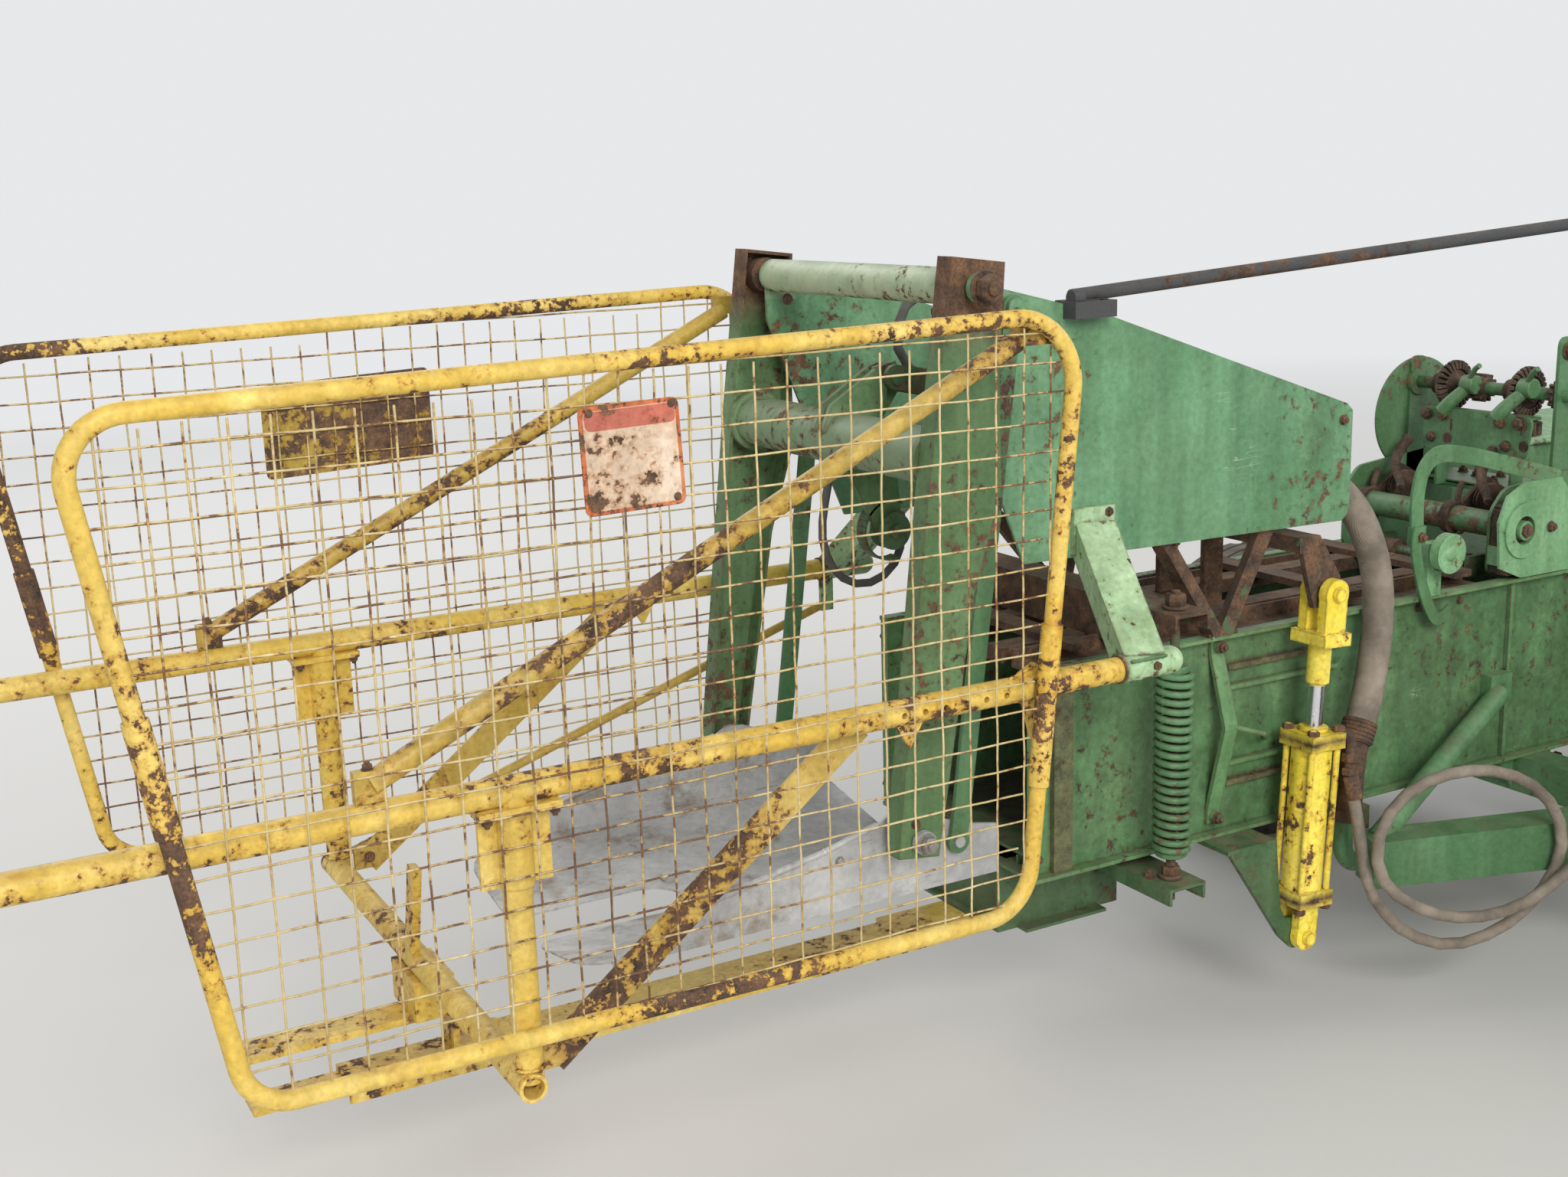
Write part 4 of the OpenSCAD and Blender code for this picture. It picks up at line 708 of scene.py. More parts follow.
hoseSkin = {"smooth": 12, "sides": 16, "sharp": 60, "slot": "dark_paint"}
hoseRuns = {
    "return_hose": {
        "finish": "hose", "diameter": 60, "step": 26, "body": "chassis", "stiffness": "stiff",
        "points": [(2044, -236, 1139), (2096, -240, 1106), (2152, -247, 1060), (2208, -256, 1003), (2242, -264, 938),
                   (2256, -276, 862), (2246, -290, 778), (2222, -303, 690), (2192, -315, 620), (2168, -322, 575)]},
    "pressure_hose": {
        "finish": "hose", "diameter": 23, "step": 50, "body": "chassis", "stiffness": "stiff",
        "points": [(2103, -371, 505), (2108, -384, 450), (2113, -392, 398), (2130, -392, 325), (2157, -396, 262),
                   (2230, -408, 182), (2324, -443, 145), (2424, -480, 172), (2497, -508, 241), (2531, -521, 320),
                   (2519, -516, 398), (2468, -497, 462), (2389, -472, 500), (2294, -449, 508), (2205, -430, 484),
                   (2142, -424, 432), (2124, -426, 361), (2170, -428, 285), (2262, -455, 228), (2359, -490, 214),
                   (2450, -524, 240), (2522, -552, 298), (2585, -574, 352), (2655, -588, 378), (2734, -590, 376)]},
    "lift_hose": {
        "finish": "hoseDark", "diameter": 18, "step": 40, "body": "throw_barrel", "stiffness": "stiff",
        "points": [(1622, 52, 1262), (1586, 55, 1303), (1558, 58, 1350), (1532, 62, 1396), (1500, 65, 1434),
                   (1452, 66, 1452), (1404, 66, 1437), (1375, 64, 1396), (1374, 60, 1346), (1404, 55, 1306),
                   (1452, 49, 1289), (1508, 44, 1289)]},
    "lever_hose": {
        "finish": "hoseDark", "diameter": 15, "step": 30, "body": "swing_arms", "stiffness": "medium",
        "points": [(1202, 24, 1150), (1193, 26, 1106), (1184, 26, 1060), (1186, 26, 1012), (1208, 26, 966),
                   (1248, 26, 938), (1296, 25, 938), (1334, 23, 966), (1346, 19, 1008), (1334, 14, 1052)]},
}


def even(path, step):  # points an even step apart, and the path's length
    lengths = [0.0]
    for a, b in zip(path, path[1:]):
        lengths.append(lengths[-1] + (b - a).length)
    count = max(2, round(lengths[-1] / step))
    result, i = [], 0
    for k in range(count + 1):
        goal = lengths[-1] * k / count
        while i < len(path) - 2 and lengths[i + 1] < goal:
            i += 1
        result.append(path[i].lerp(path[i + 1], (goal - lengths[i]) / (lengths[i + 1] - lengths[i])))
    return result, lengths[-1]


def makeHoses():
    for name, run in hoseRuns.items():
        path, length = even(flowing(run["points"], hoseSkin["smooth"]), run["step"])
        shape = bmesh.new()
        tubeAlong(shape, path, run["diameter"] / 2, hoseSkin["sides"])
        piece = pieceFrom(shape, name, run["finish"], run["body"], hoseSkin["sharp"])


def crimp(shape, end, along, radius, length, back=0.0):  # a ribbed sleeve, from so far back along the hose
    profile = [(0, radius * 0.86)]
    for k in range(5):
        start = length * (0.08 + 0.18 * k)
        profile += [(start, radius), (start + length * 0.11, radius), (start + length * 0.13, radius * 0.94)]
    profile += [(length, radius * 0.9)]
    turned(shape, Vector(end) - Vector(along).normalized() * back, along, profile, 22)


def elbow(shape, place, along):
    place, along = Vector(place), Vector(along).normalized()
    tubeAlong(shape, [place, place + along * 18, place + along * 30 + Vector((0, -30, -4))], 10, 12)


cylinder = {"foot": (2030, 320, 195), "lean": math.tan(math.radians(3.29)), "bolts": 33,
            "ends": ((606, 1), (261, -1))}


def tieNuts(shape, foot):
    for dx in (-cylinder["bolts"], cylinder["bolts"]):
        for dy in (-cylinder["bolts"], cylinder["bolts"]):
            for z, way in cylinder["ends"]:
                x = foot[0] + (z - foot[2]) * cylinder["lean"] + dx
                nut(shape, (x, foot[1] + dy, z), (0.057 * way, 0, way), 20, 10, 0.4)


hoseFittings = {
    "hose_clamps": {"finish": "iron", "slot": "rusty_iron", "once": [
        (crimp, (2044, -236, 1139), (52, -4, -33), 33.5, 34, 12),
        (tubeAlong, [(2012, -236, 1152), (2030, -236, 1147), (2044, -236, 1139)], 24, 16),
        (crimp, (2168, -322, 575), (-24, -7, -45), 33.5, 45, 30),
        (tubeAlong, [(2170, -321, 582), (2158, -324, 545), (2151, -325, 500), (2148, -325, 424)], 27, 20),
        (turned, (2148, -325, 432), downward, [(0, 29), (3, 31), (21, 31), (24, 28)], 24),
        (turned, (2740.3, -590, 376), rearward, [(0, 17), (10, 18), (12, 13)], 20),
        (nut, (2729, -590, 376), rearward, 30, 14, 0.2)]},
    "steel_bend": {"finish": "green", "slot": "green_paint", "once": [
        (bentTube, [(2148, -325, 430), (2140, -325, 385), (2139, -327, 345), (2160, -330, 319), (2206, -334, 313)],
         6, 19, 16)]},
    "cylinder_ports": {"finish": "iron", "slot": "rusty_iron", "body": "tension_barrel", "both": [
        (bentTube, [(2086, 336, 592), (2104, 343, 593), (2114, 355, 586), (2110, 364, 566), (2104, 369, 520)],
         5, 11.5, 14),
        (nut, (2094, 339, 592), forward, 32, 13, 0.2),
        (nut, (2109, 365, 560), (-0.1, 0.1, -1), 31, 18, 0.4),
        (nut, (2105, 368, 532), (-0.1, 0.1, -1), 29, 14, 0.1),
        (crimp, (2103, 371, 518), (0.08, 0.24, -1), 15, 46)]},
    "cylinder_nuts": {"finish": "ironBright", "slot": "rusty_iron", "body": "tension_barrel",
                      "both": [(tieNuts, cylinder["foot"])],
                      "once": [(bentTube, [(2105, 380, 476), (2110, 384, 430), (2124, 378, 402), (2150, 362, 384),
                                           (2194, 344, 378)], 6, 9, 12)]},
    "lift_ports": {"finish": "iron", "slot": "rusty_iron", "body": "throw_barrel", "once": [
        (crimp, (1622, 52, 1262), (1, -0.15, -0.65), 13, 30, 14), (elbow, (1622, 52, 1262), (1, -0.15, -0.65)),
        (crimp, (1508, 44, 1289), (1, -0.1, -0.1), 13, 30, 14), (elbow, (1508, 44, 1289), (1, -0.1, -0.1))]},
    "lever_ports": {"finish": "iron", "slot": "rusty_iron", "body": "swing_arms", "once": [
        (crimp, (1202, 24, 1166), downward, 10, 26), (crimp, (1322, 11, 1056), (1, 0.25, -0.2), 10, 26)]},
}

makeHoses()
makePieces(hoseFittings)
print("hoses laid")

# Tension springs

springs = {"foot": (1703, 322, 0), "coil": 30.0, "wire": 6.2, "pitch": 17.5, "turns": 19, "closed": 0.8, "first": 452,
           "closing": 10.5, "steps": 16, "sides": 10, "turn": 0.4, "still": 390, "keep": 0.9246}


def coil(shape, foot):
    side = -1 if foot[1] < 0 else 1
    closed, closing, points = springs["closed"], springs["closing"], []
    total = springs["turns"] + 2 * closed
    climb = (springs["turns"] - 1) / springs["turns"] * springs["pitch"]
    for i in range(int(total * springs["steps"]) + 1):
        turns = i / springs["steps"]
        rise = min(max(turns - closed, 0.0), springs["turns"]) * climb
        rise += (max(turns - (total - closed), 0) - max(closed - turns, 0)) / closed * closing
        angle = turns * math.tau + springs["turn"]
        points.append((foot[0] + springs["coil"] * math.cos(angle),
                       foot[1] + springs["coil"] * math.sin(angle) * side, springs["first"] + rise))
    tubeAlong(shape, points, springs["wire"], springs["sides"])


def thread(start, turns, crest, root, pitch=3.5):
    return [(start + pitch * (k + half), radius) for k in range(turns) for half, radius in ((0, crest), (0.5, root))]


springPieces = {
    "spring_coils": {"finish": "green", "slot": "green_paint", "replaces": "tension_spring", "both": [
        (coil, springs["foot"]),
        (turned, springs["foot"], upward, [(428, 26), (430, 29), (438, 29), (440.5, 26)]),
        (turned, springs["foot"], upward, [(776.5, 22), (778, 25.5), (787, 25.5), (789.5, 23.5), (790, 14)])]},
    "spring_rods": {"finish": "iron", "slot": "rusty_iron", "both": [
        (turned, springs["foot"], upward, [(341, 7), *thread(343, 24, 9.2, 8.0), (430, 8.8), (800, 8.8),
                                           *thread(803.5, 34, 9.0, 7.9), (925.5, 8.5), (927, 6.5)], 16),
        (turned, springs["foot"], upward, [(384.5, 20), (386, 22), (390, 22), (391.5, 20)]),
        (nut, (1703, 322, 392), upward, 31, 16, 0.3), (nut, (1703, 322, 377), downward, 31, 14, 0.8),
        (turned, springs["foot"], upward, [(894, 21), (895, 23), (898, 23), (899, 21)]),
        (nut, (1703, 322, 899.2), upward, 32, 22, 0.5)]},
}


def makeSprings():
    x, y, z = springs["foot"]
    for piece in makePieces(springPieces).values():
        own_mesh(piece)


makeSprings()
print("springs wound")

# Woven screens

screens = {"y": 522.3, "pitchX": 50.8, "pitchZ": 45.0, "wire": 1.75, "sides": 5, "firstZ": 521, "uprights": (-3, 27),
           "rows": 21, "corners": [(-150, 1415), (1325, 1448), (1226, 500), (-4, 515)], "inset": 9.0,
           "radii": (75, 105, 85, 70), "weave": 0.55, "sway": 1.2, "swayLength": 130.0, "kink": 0.5,
           "kinkLength": 37.0, "sharp": 80}


def screenEdge(value, along):  # where a wire at this value meets the frame
    corners, hits = screens["corners"], []
    for (ax, az), (bx, bz) in zip(corners, corners[1:] + corners[:1]):
        a, b = ((ax, az), (bx, bz)) if along == "z" else ((az, ax), (bz, bx))
        if (a[0] - value) * (b[0] - value) < 0:
            hits.append(a[1] + (b[1] - a[1]) * (value - a[0]) / (b[0] - a[0]))
    return sorted(hits)


def cornerCut(x, z):  # whether a point lies outside a rounded corner of the frame
    corners = vectors(screens["corners"])
    point = Vector((x, z))
    for i, radius in enumerate(screens["radii"]):
        corner = corners[i]
        before = (corners[i - 1] - corner).normalized()
        after = (corners[(i + 1) % 4] - corner).normalized()
        half = math.acos(before.dot(after)) / 2
        middle = corner + (before + after).normalized() * radius / math.sin(half)
        gap = point - middle
        isNear = gap.dot(corner - middle) > 0 and (point - corner).length < radius / math.tan(half)
        if isNear and gap.length > radius - 2:
            return True
    return False


def wireRun(shape, side, along, value, phase):
    ends = screenEdge(value, along)
    if len(ends) != 2:
        return
    place, high = ends[0] + screens["inset"], ends[1] - screens["inset"]
    step = (screens["pitchZ"] if along == "z" else screens["pitchX"]) / 2
    start = math.floor(place / step) * step
    points, sway = [], chance.uniform(-screens["sway"], screens["sway"])
    while place < high:
        x, z = (value, place) if along == "z" else (place, value)
        if not cornerCut(x, z):
            wave = screens["wire"] * screens["weave"] * math.cos(math.pi * (place - start) / (2 * step) + phase)
            drift = sway * math.sin(place / screens["swayLength"])
            drift += screens["kink"] * math.sin(place / screens["kinkLength"] + value)
            x, z = (x + drift, z) if along == "z" else (x, z + drift)
            points.append((x, side * (screens["y"] + wave), z))
        place += step
    if len(points) > 3:
        tubeAlong(shape, points, screens["wire"], screens["sides"])


def makeScreenWires():
    shape = bmesh.new()
    for side in (-1, 1):
        for i in range(*screens["uprights"]):
            wireRun(shape, side, "z", i * screens["pitchX"], math.pi * (i % 2))
        for i in range(screens["rows"]):
            wireRun(shape, side, "x", screens["firstZ"] + i * screens["pitchZ"], math.pi * ((i + 1) % 2))
    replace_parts(pieceFrom(shape, "screen_wires", "wire", sharp=screens["sharp"]), "cage_mesh")


makeScreenWires()
print("screens woven")

# Knotter stand with its shafts, disc, panel, strap and chain box

knotShaft = (2880, 1163)
standSide = [(2660, 805), (3010, 805), (3010, 985), (2960, 1010), (2700, 985), (2660, 940)]
strapLine = [(2386, 926), (2382, 988), (2385, 1027), (2396, 1060), (2420, 1083), (2456, 1089), (2525, 1078),
             (2612, 1056), (2703, 1031), (2752, 1018), (2800, 1002)]
hookLine = [(2378, 950), (2372, 912), (2385, 859), (2405, 808), (2425, 771), (2445, 755), (2478, 768)]
chain = {"links": 12, "start": 2664, "pitch": 6.6, "height": 952, "wave": 3}


def post(y, top):
    return [(2852, y, 900), (2908, y, 900), (2906, y, top), (2856, y, top)]


def knotterArm(shape, low, high):  # y and z at the panel and at the shaft
    (y0, z0), (y1, z1) = low, high
    line = [(2812, y0, z0), (2818, (y0 * 2 + y1) / 3, (z0 * 2 + z1) / 3),
            (2832, (y0 + 2 * y1) / 3, (z0 + 2 * z1) / 3), (2846, y1, z1)]
    bentTube(shape, line, 5, lambda t: 17 - 4 * t, 14)
    turned(shape, (2846, y1 - 18, z1), outward, drum(34, 21, 2), 24)
    tubeAlong(shape, [(2840, y1, z1 + 8), (2828, y1 - 26, z1 + 38), (2824, y1 - 40, z1 + 46)], 6, 10)


def flatBand(shape, line, y, width, thick):
    points, rings = flowing([(x, 0, z) for x, z in line], 5), []
    for i, point in enumerate(points):
        ahead = (points[min(i + 1, len(points) - 1)] - points[max(i - 1, 0)]).normalized()
        side = Vector((-ahead.z, 0, ahead.x)) * width / 2
        face, back = Vector((0, y, 0)), Vector((0, y - thick, 0))
        rings.append([shape.verts.new(point + step) for step in (side + face, face - side, back - side, side + back)])
    skin(shape, rings)


def chainRow(shape):
    for k in range(chain["links"]):
        x, z = chain["start"] + k * chain["pitch"], chain["height"] + chain["wave"] * math.sin(k * 0.5)
        turned(shape, (x, -246, z), outward, [(0, 4.2), (32, 4.2)], 10)
        block(shape, (x - 5, -243, 950), (x + 3, -240.5, 957))


standPieces = {
    "knotter_frame": {"finish": "green", "slot": "green_paint", "replaces": "knotter_stand", "once": [
        (slab, atSide(-204, standSide), (0, 8, 0), 0, 18), (slab, atSide(196, standSide), (0, 8, 0), 0, 18),
        (slab, post(-196, 1288), (0, 8, 0), 0, 22), (slab, post(196, 1222), (0, 8, 0), 0, 22),
        (block, (2766, -250, 803.4), (3010, 250, 811.1), 0, 10),  # foot plate
        (block, (2852, -196, 946), (2990, 196, 954), 1, 30), (block, (2852, -196, 938), (2858, 196, 950), 0, 2),
        (turned, (2880, -224, 1163), outward, drum(478, 14, 1.5), 24),  # knotter shaft
        (turned, (2700, -212, 906), outward, drum(466, 27, 2), 32),  # needle shaft
        (turned, (2893, 204, 1085), outward, [(0, 129), (1.5, 132.5), (6, 133.5), (8.5, 132), (9, 128)], 72),  # disc
        (turned, (2880, 190, 1163), outward, [(0, 30), (3, 32), (14, 32)], 28),
        (slab, [(2815, -158, 1024), (2815, -172, 1120), (2815, 120, 1119), (2815, 120, 1024)], (6, 0, 0), 1.2, 22),
        (block, (2818, -164, 1112), (2850, 118, 1118)),
        *[(slab, atSide(y, [(2820, 944), (2858, 944), (2858, 1100), (2820, 1112)]), (0, 6, 0)) for y in (-120, 80)],
        (knotterArm, (66, 1112), (22, 1172)), (knotterArm, (-80, 1112), (-128, 1176))]},
    "arm_strap": {"finish": "green", "slot": "green_paint", "once": [
        (flatBand, strapLine, -250, 34, 6), (flatBand, hookLine, -262, 26, 5),
        (block, (2364, -262, 912), (2402, -249, 950))]},
    "knotter_bolts": {"finish": "iron", "slot": "rusty_iron", "once": [
        *[(bolt, (2815, y, z), rearward, size, True, 0.25) for y, z, size in (
            (109, 1103, 13), (62, 1105, 13), (-89, 1102, 13), (-138, 1104, 14), (-107, 1052, 12), (94, 1052, 11))],
        (bolts, [(2935, 170, 954), (2955, 120, 954), (2930, 62, 954), (2960, 20, 954), (2935, -40, 954),
                 (2955, -90, 954), (2890, 150, 954), (2888, -20, 954)], upward, 11, True, 0.4),
        (bolt, (2880, -196, 1258), inward, 18, True, 0.3), (bolt, (2384, -262, 930), inward, 12, True, 0.5),
        (bolt, (2774, -262, 905), inward, 11, True, 0.4), (bolt, (2689, -262, 907), inward, 16.5, True, 0.2),
        (bolts, [(2800, -235, 811), (2980, -235, 811), (2800, 235, 811), (2980, 235, 811)], upward, 12, True, 0.6)]},
    "chain_box": {"finish": "ironDark", "slot": "rusty_iron", "once": [
        *[(turned, (2814.6, y, z), rearward, [(0, 12), (0.6, 12.5), (0.8, 11)], 20)
          for y, z in ((50, 1054), (-152, 1056))],
        (block, (2658, -252, 812), (2742, -209, 948), 2), (chainRow,)]},
}

# Knotters: bevel discs and pinions on the shaft, twine holders and bill hooks below it

gears = {"teeth": 26, "tooth": ((36, -2.4, -4), (55.5, -4.2, 1), (55.5, 4.2, 1), (36, 2.4, -4)), "pinionTeeth": 11,
         "pinionTooth": ((0.66, -4.2), (1, -2.6), (1, 2.6), (0.66, 4.2))}


def bevelDisc(shape, y):
    x, z = knotShaft
    for k in range(gears["teeth"]):
        angle = math.tau * k / gears["teeth"]
        out = Vector((math.cos(angle), 0, math.sin(angle)))
        side = Vector((-out.z, 0, out.x))
        slab(shape, [Vector((x, y + d, z)) + out * r + side * s for r, s, d in gears["tooth"]], (0, -11, 0), 0.8)
    turned(shape, (x, y - 4, z), inward, [(0, 34), (6, 34), (9, 30), (16, 22), (20, 20)], 32)
    turned(shape, (x, y - 1, z), outward, [(0, 50), (2, 53), (13, 46), (17, 40), (18, 26), (44, 24), (46, 20)], 40)


def pinion(shape, place, axis, radius, wide):
    turned(shape, place, axis, drum(wide, radius * 0.72, radius * 0.12), 24)
    line, side, up = crossAxes(axis)
    for k in range(gears["pinionTeeth"]):
        angle = math.tau * k / gears["pinionTeeth"]
        out = side * math.cos(angle) + up * math.sin(angle)
        corners = [Vector(place) + out * radius * share + line.cross(out) * s + line * 3
                   for share, s in gears["pinionTooth"]]
        slab(shape, corners, line * (wide - 6))


def twineHolder(shape, y):
    turned(shape, (2700, y + 34, 906), outward, drum(24, 35, 3), 32)
    slab(shape, atSide(y + 40, [(2712, 930), (2730, 908), (2868, 934), (2868, 947), (2800, 985)]), (0, 12, 0), 1)
    turned(shape, (2772, y + 4, 938), (0.3, 1, 0), [(0, 36), (1, 38), (4, 38), (5, 30), (10, 30), (11, 38), (14, 38),
                                                    (15, 36)], 32)
    bentTube(shape, [(2820, y + 46, 1040), (2780, y + 38, 1010), (2748, y + 16, 985), (2730, y - 14, 960),
                     (2712, y - 34, 948)], 5, lambda t: 13 - 5 * t, 14)
    bentTube(shape, [(2742, y + 60, 975), (2716, y + 48, 945), (2696, y + 26, 900), (2690, y + 14, 876)], 5, 7, 12)


knotterPieces = {
    "gear_teeth": {"finish": "ironDark", "slot": "rusty_iron", "replaces": "knotters", "once": [
        (bevelDisc, 97), (bevelDisc, -97), (twineHolder, 118), (twineHolder, -118),
        (pinion, (2880, 40, 1163), inward, 31, 40), (pinion, (2880, -166, 1163), inward, 29, 20),
        (pinion, (2838, 40, 1066), upward, 24, 34), (pinion, (2838, -146, 1076), upward, 24, 34)]},
    "dished_wheel": {"finish": "greenFresh", "slot": "green_paint", "once": [
        (turned, (2432, -300, 896), inward,
         [(0, 38), (3, 40), (4, 36.5), (1.2, 27), (0.8, 16), (3, 13), (4.5, 11)], 44)]},
}

makePieces(standPieces)
makePieces(knotterPieces)
print("knotters detailed")

# Sign plates, bare

nearSign = [(500, 1228), (648, 1232), (641, 1378), (495, 1374)]
nearBand = [(498, 1334), (643, 1338), (641, 1378), (495, 1374)]
farSign = [(330, 1160), (640, 1172), (640, 1340), (330, 1328)]
rivet = [(0, 5.2), (1.2, 5.8), (2.6, 4.6), (3, 2)]


def board(shape, corners, y, inset, thick, chamfer=0.0):
    middle = sum(vectors(corners), Vector((0, 0))) / len(corners)
    moved = [(x - math.copysign(inset, x - middle.x), y, z - math.copysign(inset, z - middle.y)) for x, z in corners]
    slab(shape, moved, (0, thick, 0), chamfer, 12 - inset * 0.4)


signPieces = {
    "sign_edge": {"finish": "signEdge", "slot": "plate_paint", "replaces": "sign_plates",
                  "once": [(board, nearSign, -526.2, 0, -3, 0.6)]},
    "sign_field": {"finish": "signField", "slot": "plate_paint", "once": [(board, nearSign, -529, 6, -0.6)]},
    "sign_band": {"finish": "signRed", "slot": "plate_paint", "once": [(board, nearBand, -529.4, 7, -0.5)]},
    "old_sign": {"finish": "signOld", "slot": "plate_paint", "once": [(board, farSign, 526.2, 0, 3, 0.6)]},
    "sign_rivets": {"finish": "iron", "slot": "rusty_iron", "once": [
        *[(turned, (x, -529.7, z), inward, rivet, 16)
          for x, z in ((510, 1366), (630, 1370), (512, 1240), (634, 1243))],
        *[(turned, (x, 529, z), outward, rivet, 16)
          for x, z in ((350, 1310), (620, 1322), (350, 1178), (620, 1188))]]},
}

makePieces(signPieces)
print("sign plates made")

# Bolts, in rows of places, axis, size, washer and stud

frameBolts = {
    "frame_bolts": {
        "finish": "iron", "slot": "rusty_iron",
        "both": [
            (bolt, (1312, 296, 1465), outward, 12), (bolt, (1247, 384, 1483), outward, 26, True, 0.25),
            (bolt, (1250, 250, 1440), inward, 10), (bolt, (1500, 508, 862), outward, 8.5, False, 0.2),
            (bolt, (2125, 296, 1190), outward, 9),
            (bolts, [(1502, 298.3, 1028), (1564, 298.3, 1028), (1564, 298.3, 1082)], outward, 10),
            (bolts, [(1735, 283, 1008), (1960, 283, 1008)], downward, 10),
            (bolts, [(1860, 248, 810), (1900, 248, 810)], upward, 11),
            (bolts, [(1453, 253, 450), (1453, 253, 760)], outward, 8, True, 0.2),
            (bolts, [(2300, 235, 775), (2420, 235, 775), (2540, 235, 775)], outward, 8, True, 0.1),
            (leftBolts, [(x, 235, z) for x in (3200, 3500, 3850, 4100, 4200) for z in (440, 770)], outward, 9, True,
             0.2),
            (bolts, [(1672, 300, 384), (1734, 300, 384)], upward, 10)],
        "once": [(bolts, [(1878, -253, 781), (1878, -253, 443)], inward, 11)]},
    "rail_bolts": {"finish": "ironBright", "slot": "rusty_iron", "both": [
        (bolts, [(342, 505, 831), (342, 463, 831), (440, 505, 831), (440, 463, 831)], downward, 8.5),
        (bolts, [(1230, 488, 870), (1256, 488, 868)], outward, 6, False, 0.2),
        (bolts, [(945, 454, 850), (975, 454, 852)], inward, 9),
        (bolt, (435, 454, 447), inward, 10), (bolt, (193, 484, 925), upward, 8)]},
    "arm_bolts": {"finish": "iron", "slot": "rusty_iron", "body": "swing_arms", "both": [
        (bolt, (1121, 360, 620), outward, 8, True, 0.1)]},
    "pan_bolts": {"finish": "steel", "slot": "galvanised", "body": "pan", "both": [
        (bolt, (1131, 377, 589), outward, 17, True, 0.3),
        (bolts, [(1170, 300, 590), (1230, 300, 552), (1010, 300, 560)], outward, 8, True, 0.2)]},
}

# Weld beads, the pipe's tray and the lever's pulley


def postWeld(shape, centre, radius=23, count=14):
    side = -1 if centre[1] < 0 else 1
    spots = [(centre[0] + radius * math.cos(a), centre[1] + radius * math.sin(a) * side, centre[2])
             for a in (math.tau * t / count for t in range(count + 1))]
    for a, b in zip(spots, spots[1:]):
        bead(shape, a, b, 3.2)


def pulleyGuard(shape, centre, radius=52, wide=28):
    spots = [Vector(centre) + Vector((math.cos(a), 0, math.sin(a))) * radius
             for a in (math.radians(60 + 12 * k) for k in range(20))]
    across = Vector((0, wide, 0))
    for a, b in zip(spots, spots[1:]):
        slab(shape, [a, b, b + across, a + across], ((a + b) / 2 - Vector(centre)) * 0.08)


ironwork = {
    "weld_beads": {"finish": "green", "slot": "green_paint", "sharp": 70, "both": [
        (bead, (1448, 507, 876), (1522, 507, 876), 3.5), (bead, (1448, 461, 878), (1522, 461, 878), 3.5),
        (bead, (1850, 243, 798), (1850, 262, 804), 3)]},
    "rail_welds": {"finish": "yellowRail", "slot": "yellow_paint", "sharp": 70, "both": [
        (bead, (366, 463, 830), (366, 505, 830), 3.5), (bead, (406, 463, 830), (406, 505, 830), 3.5),
        (bead, (1216, 489, 880), (1262, 489, 894), 3), (bead, (1216, 489, 848), (1246, 489, 836), 3),
        (postWeld, (386, 484, 452))]},
    "pipe_tray": {"finish": "black", "slot": "dark_paint", "once": [
        (block, (1469, -330, 1418), (1556, -291, 1423)), (block, (1469, -330, 1423), (1473, -291, 1446)),
        (block, (1552, -330, 1423), (1556, -291, 1446)), (block, (1473, -330, 1423), (1552, -326, 1446)),
        (turned, (1496, -310, 1452), rearward, drum(22, 15, 2, 4), 24)]},
    "lever_pulley": {"finish": "greenWorn", "slot": "green_paint", "body": "swing_arms", "once": [
        (turned, (1308, -22, 1034), outward,
         [(0, 30), (2, 34), (7, 34), (12, 26), (24, 26), (29, 34), (34, 34), (36, 30)], 36),
        (nut, (1308, -22, 1034), inward, 24, 10, 0.2), (pulleyGuard, (1308, -6, 1034))]},
}

makePieces(frameBolts)
makePieces(ironwork)
print("ironwork made")

# Road tyres with ribs and shoulder lugs

tread = {
    "wheels": (("left_tyre", 560, 260, "left_wheel"), ("right_tyre", -1700, 200, "right_wheel")),
    "hub": (2780, 365), "radius": 365, "sides": 144, "sharp": 28, "lugs": 6, "lugDepth": 8,
    "bead": [(-0.400, 189), (-0.412, 194), (-0.440, 205), (-0.482, 226), (-0.500, 250), (-0.500, 275), (-0.490, 300),
             (-0.462, 325), (-0.430, 343), (-0.425, 349), (-0.375, 357)],  # share of the width, radius
    "ribs": ((-0.37, -0.245), (-0.215, -0.085), (-0.055, 0.055), (0.085, 0.215), (0.245, 0.37)),
    "nuts": 6, "nutCircle": 66,
}


def tyreProfile():
    ribs = []
    for start, end in tread["ribs"]:
        ribs += [(share, tread["radius"] - 26 * share * share) for share in (start, (start + end) / 2, end)]
        if end < 0.3:
            floor = 355.5 - 20 * end * end
            ribs += [(end + 0.004, floor), (end + 0.026, floor)]
    return tread["bead"] + ribs + [(-share, radius) for share, radius in reversed(tread["bead"])]


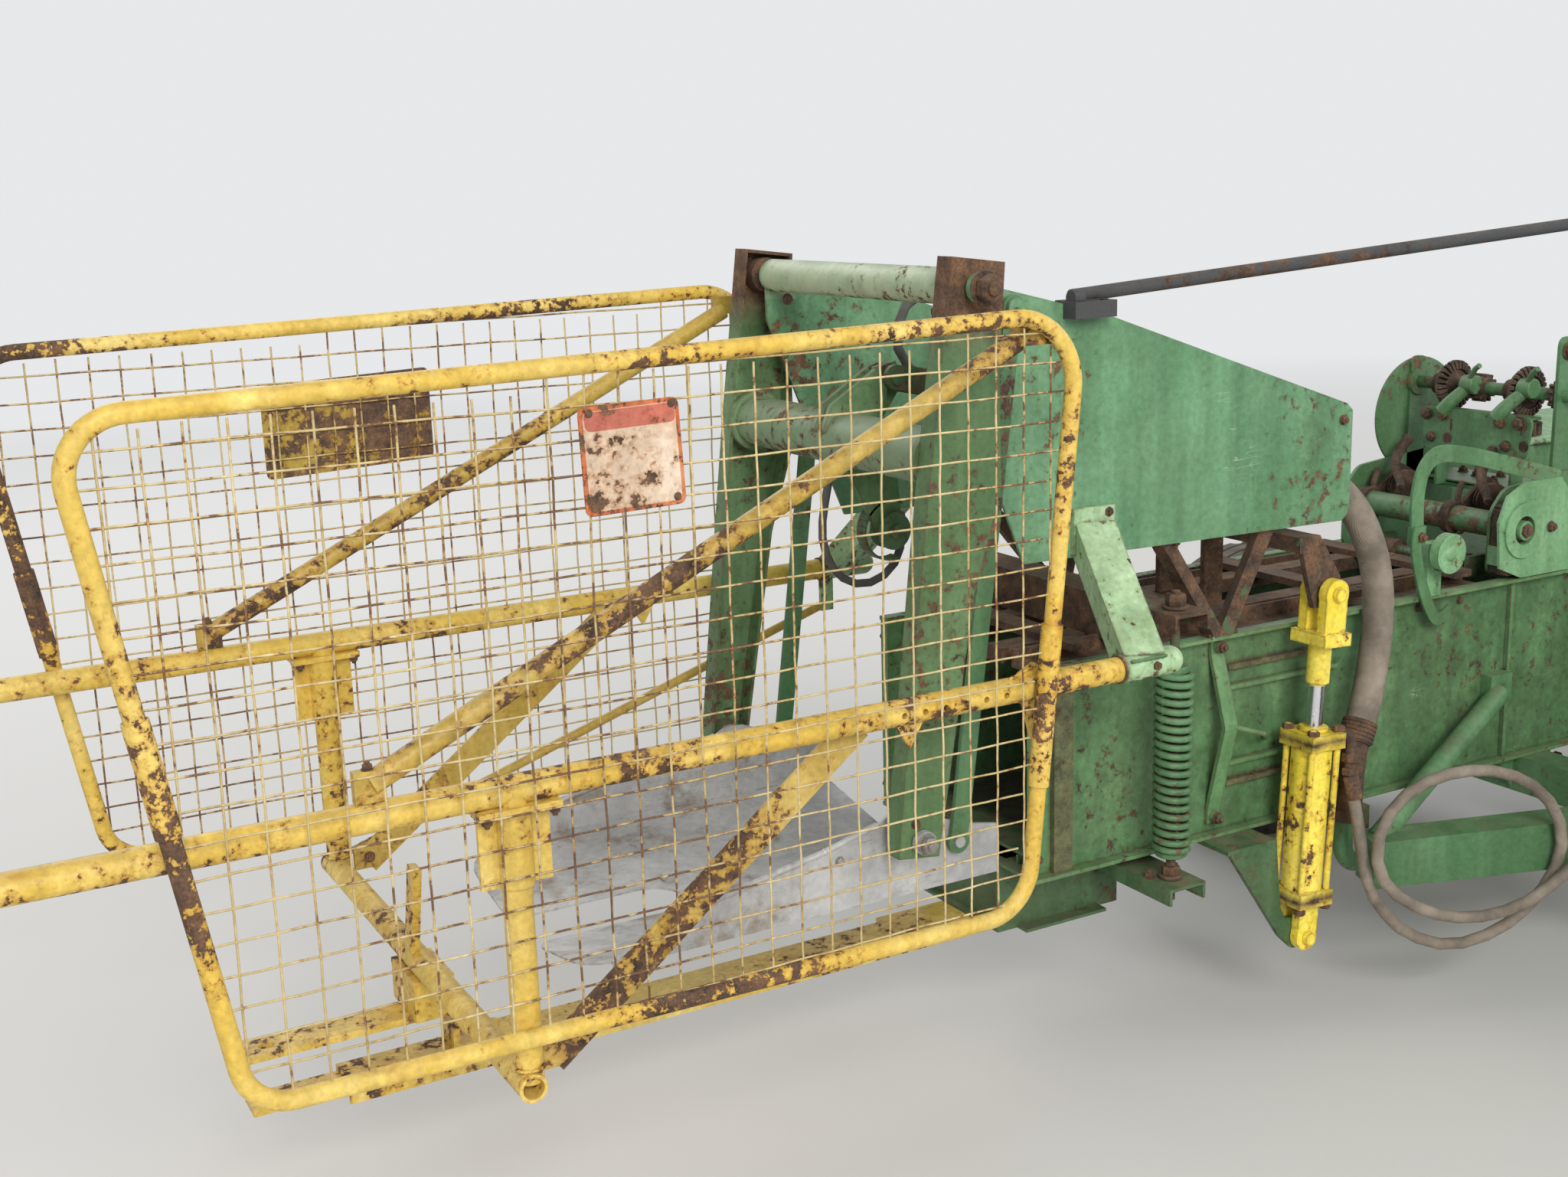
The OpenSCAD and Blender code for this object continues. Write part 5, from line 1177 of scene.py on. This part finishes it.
def makeTyres():
    x, z = tread["hub"]
    for name, y, width, body in tread["wheels"]:
        shape, rings = bmesh.new(), []
        for k in range(tread["sides"]):
            angle = math.tau * k / tread["sides"]
            out = Vector((math.cos(angle), 0, math.sin(angle)))
            isCut = k % tread["lugs"] < 2
            line = []
            for share, radius in tyreProfile():
                if isCut and 0.25 < abs(share) < 0.46 and radius > 335:
                    radius -= tread["lugDepth"]
                line.append(shape.verts.new(Vector((x, y + share * width, z)) + out * radius))
            rings.append(line)
        for one, two in zip(rings, rings[1:] + rings[:1]):
            for i in range(len(one)):
                after = (i + 1) % len(one)
                shape.faces.new((one[i], one[after], two[after], two[i]))
        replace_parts(pieceFrom(shape, name + "_tread", "tyre", body, tread["sharp"]), name)
        side = -1 if y < 0 else 1
        nuts = bmesh.new()
        for angle in (math.tau * k / tread["nuts"] + 0.5 for k in range(tread["nuts"])):
            place = (x + tread["nutCircle"] * math.cos(angle), y + side * 10,
                     z + tread["nutCircle"] * math.sin(angle))
            nut(nuts, place, (0, side, 0), 24, 18, angle)
        pieceFrom(nuts, name + "_nuts", "iron", body)


makeTyres()
print("tyres made")

# Floor and light

studio = {"floor": (0.70, 0.69, 0.67, 1), "rough": 0.9, "sky": (0.80, 0.81, 0.82, 1), "ambient": 0.55, "far": 40.0,
          "fadeFrom": 4.5, "fadeTo": 13.0}
lamps = {
    "keyLamp": {"place": (-4.2, -9, 6.0), "aim": (-1.0, 0, 0.7), "size": 4.5, "power": 820,
                "tint": (1.0, 0.985, 0.96)},
    "fillLamp": {"place": (-2, 8, 6), "aim": (-1.0, 0.4, 0.7), "size": 6.0, "power": 260, "tint": (0.95, 0.98, 1.0)},
    "frontLamp": {"place": (8, -5, 6), "aim": (1.5, 0, 0.7), "size": 5.0, "power": 260, "tint": (1, 1, 1)},
}


def makeFloor():
    far = studio["far"]
    mesh = bpy.data.meshes.new("floor")
    mesh.from_pydata([(-far, -far, 0), (far, -far, 0), (far, far, 0), (-far, far, 0)], [], [(0, 1, 2, 3)])
    floor = bpy.data.objects.new("floor", mesh)
    bpy.context.scene.collection.objects.link(floor)
    made, tree, shader, vector = startMaterial("paleFloor")
    fill(tree, shader, {"Base Color": studio["floor"], "Roughness": studio["rough"]})
    away = vectorMath(tree, "LENGTH", vector)["Value"]
    plain = add(tree, "Emission", {"Color": studio["sky"], "Strength": 1.0})
    mixed = add(tree, "MixShader", {0: span(tree, away, studio["fadeFrom"], studio["fadeTo"]), 1: shader.outputs[0],
                                    2: plain.outputs[0]})
    tree.links.new(mixed.outputs[0], tree.nodes["Material Output"].inputs["Surface"])
    mesh.materials.append(made)


def makeSky():
    world = bpy.data.worlds.new("studio")
    bpy.context.scene.world = world
    world.use_nodes = True
    tree = world.node_tree
    shown = fill(tree, tree.nodes["Background"], {"Color": studio["sky"], "Strength": 1.0})
    ambient = add(tree, "Background", {"Color": (1, 1, 1, 1), "Strength": studio["ambient"]})
    rays = add(tree, "LightPath").outputs
    seen = largest(tree, *[rays[kind] for kind in ("Is Camera Ray", "Is Glossy Ray", "Is Transmission Ray")])
    mixed = add(tree, "MixShader", {0: seen, 1: ambient.outputs[0], 2: shown.outputs[0]})
    tree.links.new(mixed.outputs[0], tree.nodes["World Output"].inputs["Surface"])


def makeLamps():
    for name, lamp in lamps.items():
        data = bpy.data.lights.new(name, "AREA")
        data.shape, data.size, data.energy, data.color = "SQUARE", lamp["size"], lamp["power"], lamp["tint"]
        light = bpy.data.objects.new(name, data)
        light.location = lamp["place"]
        toward = Vector(lamp["aim"]) - Vector(lamp["place"])
        light.rotation_euler = toward.to_track_quat("-Z", "Y").to_euler()
        bpy.context.scene.collection.objects.link(light)


makeFloor()
makeSky()
makeLamps()
bpy.context.scene.view_settings.view_transform = "Standard"
print("studio ready")
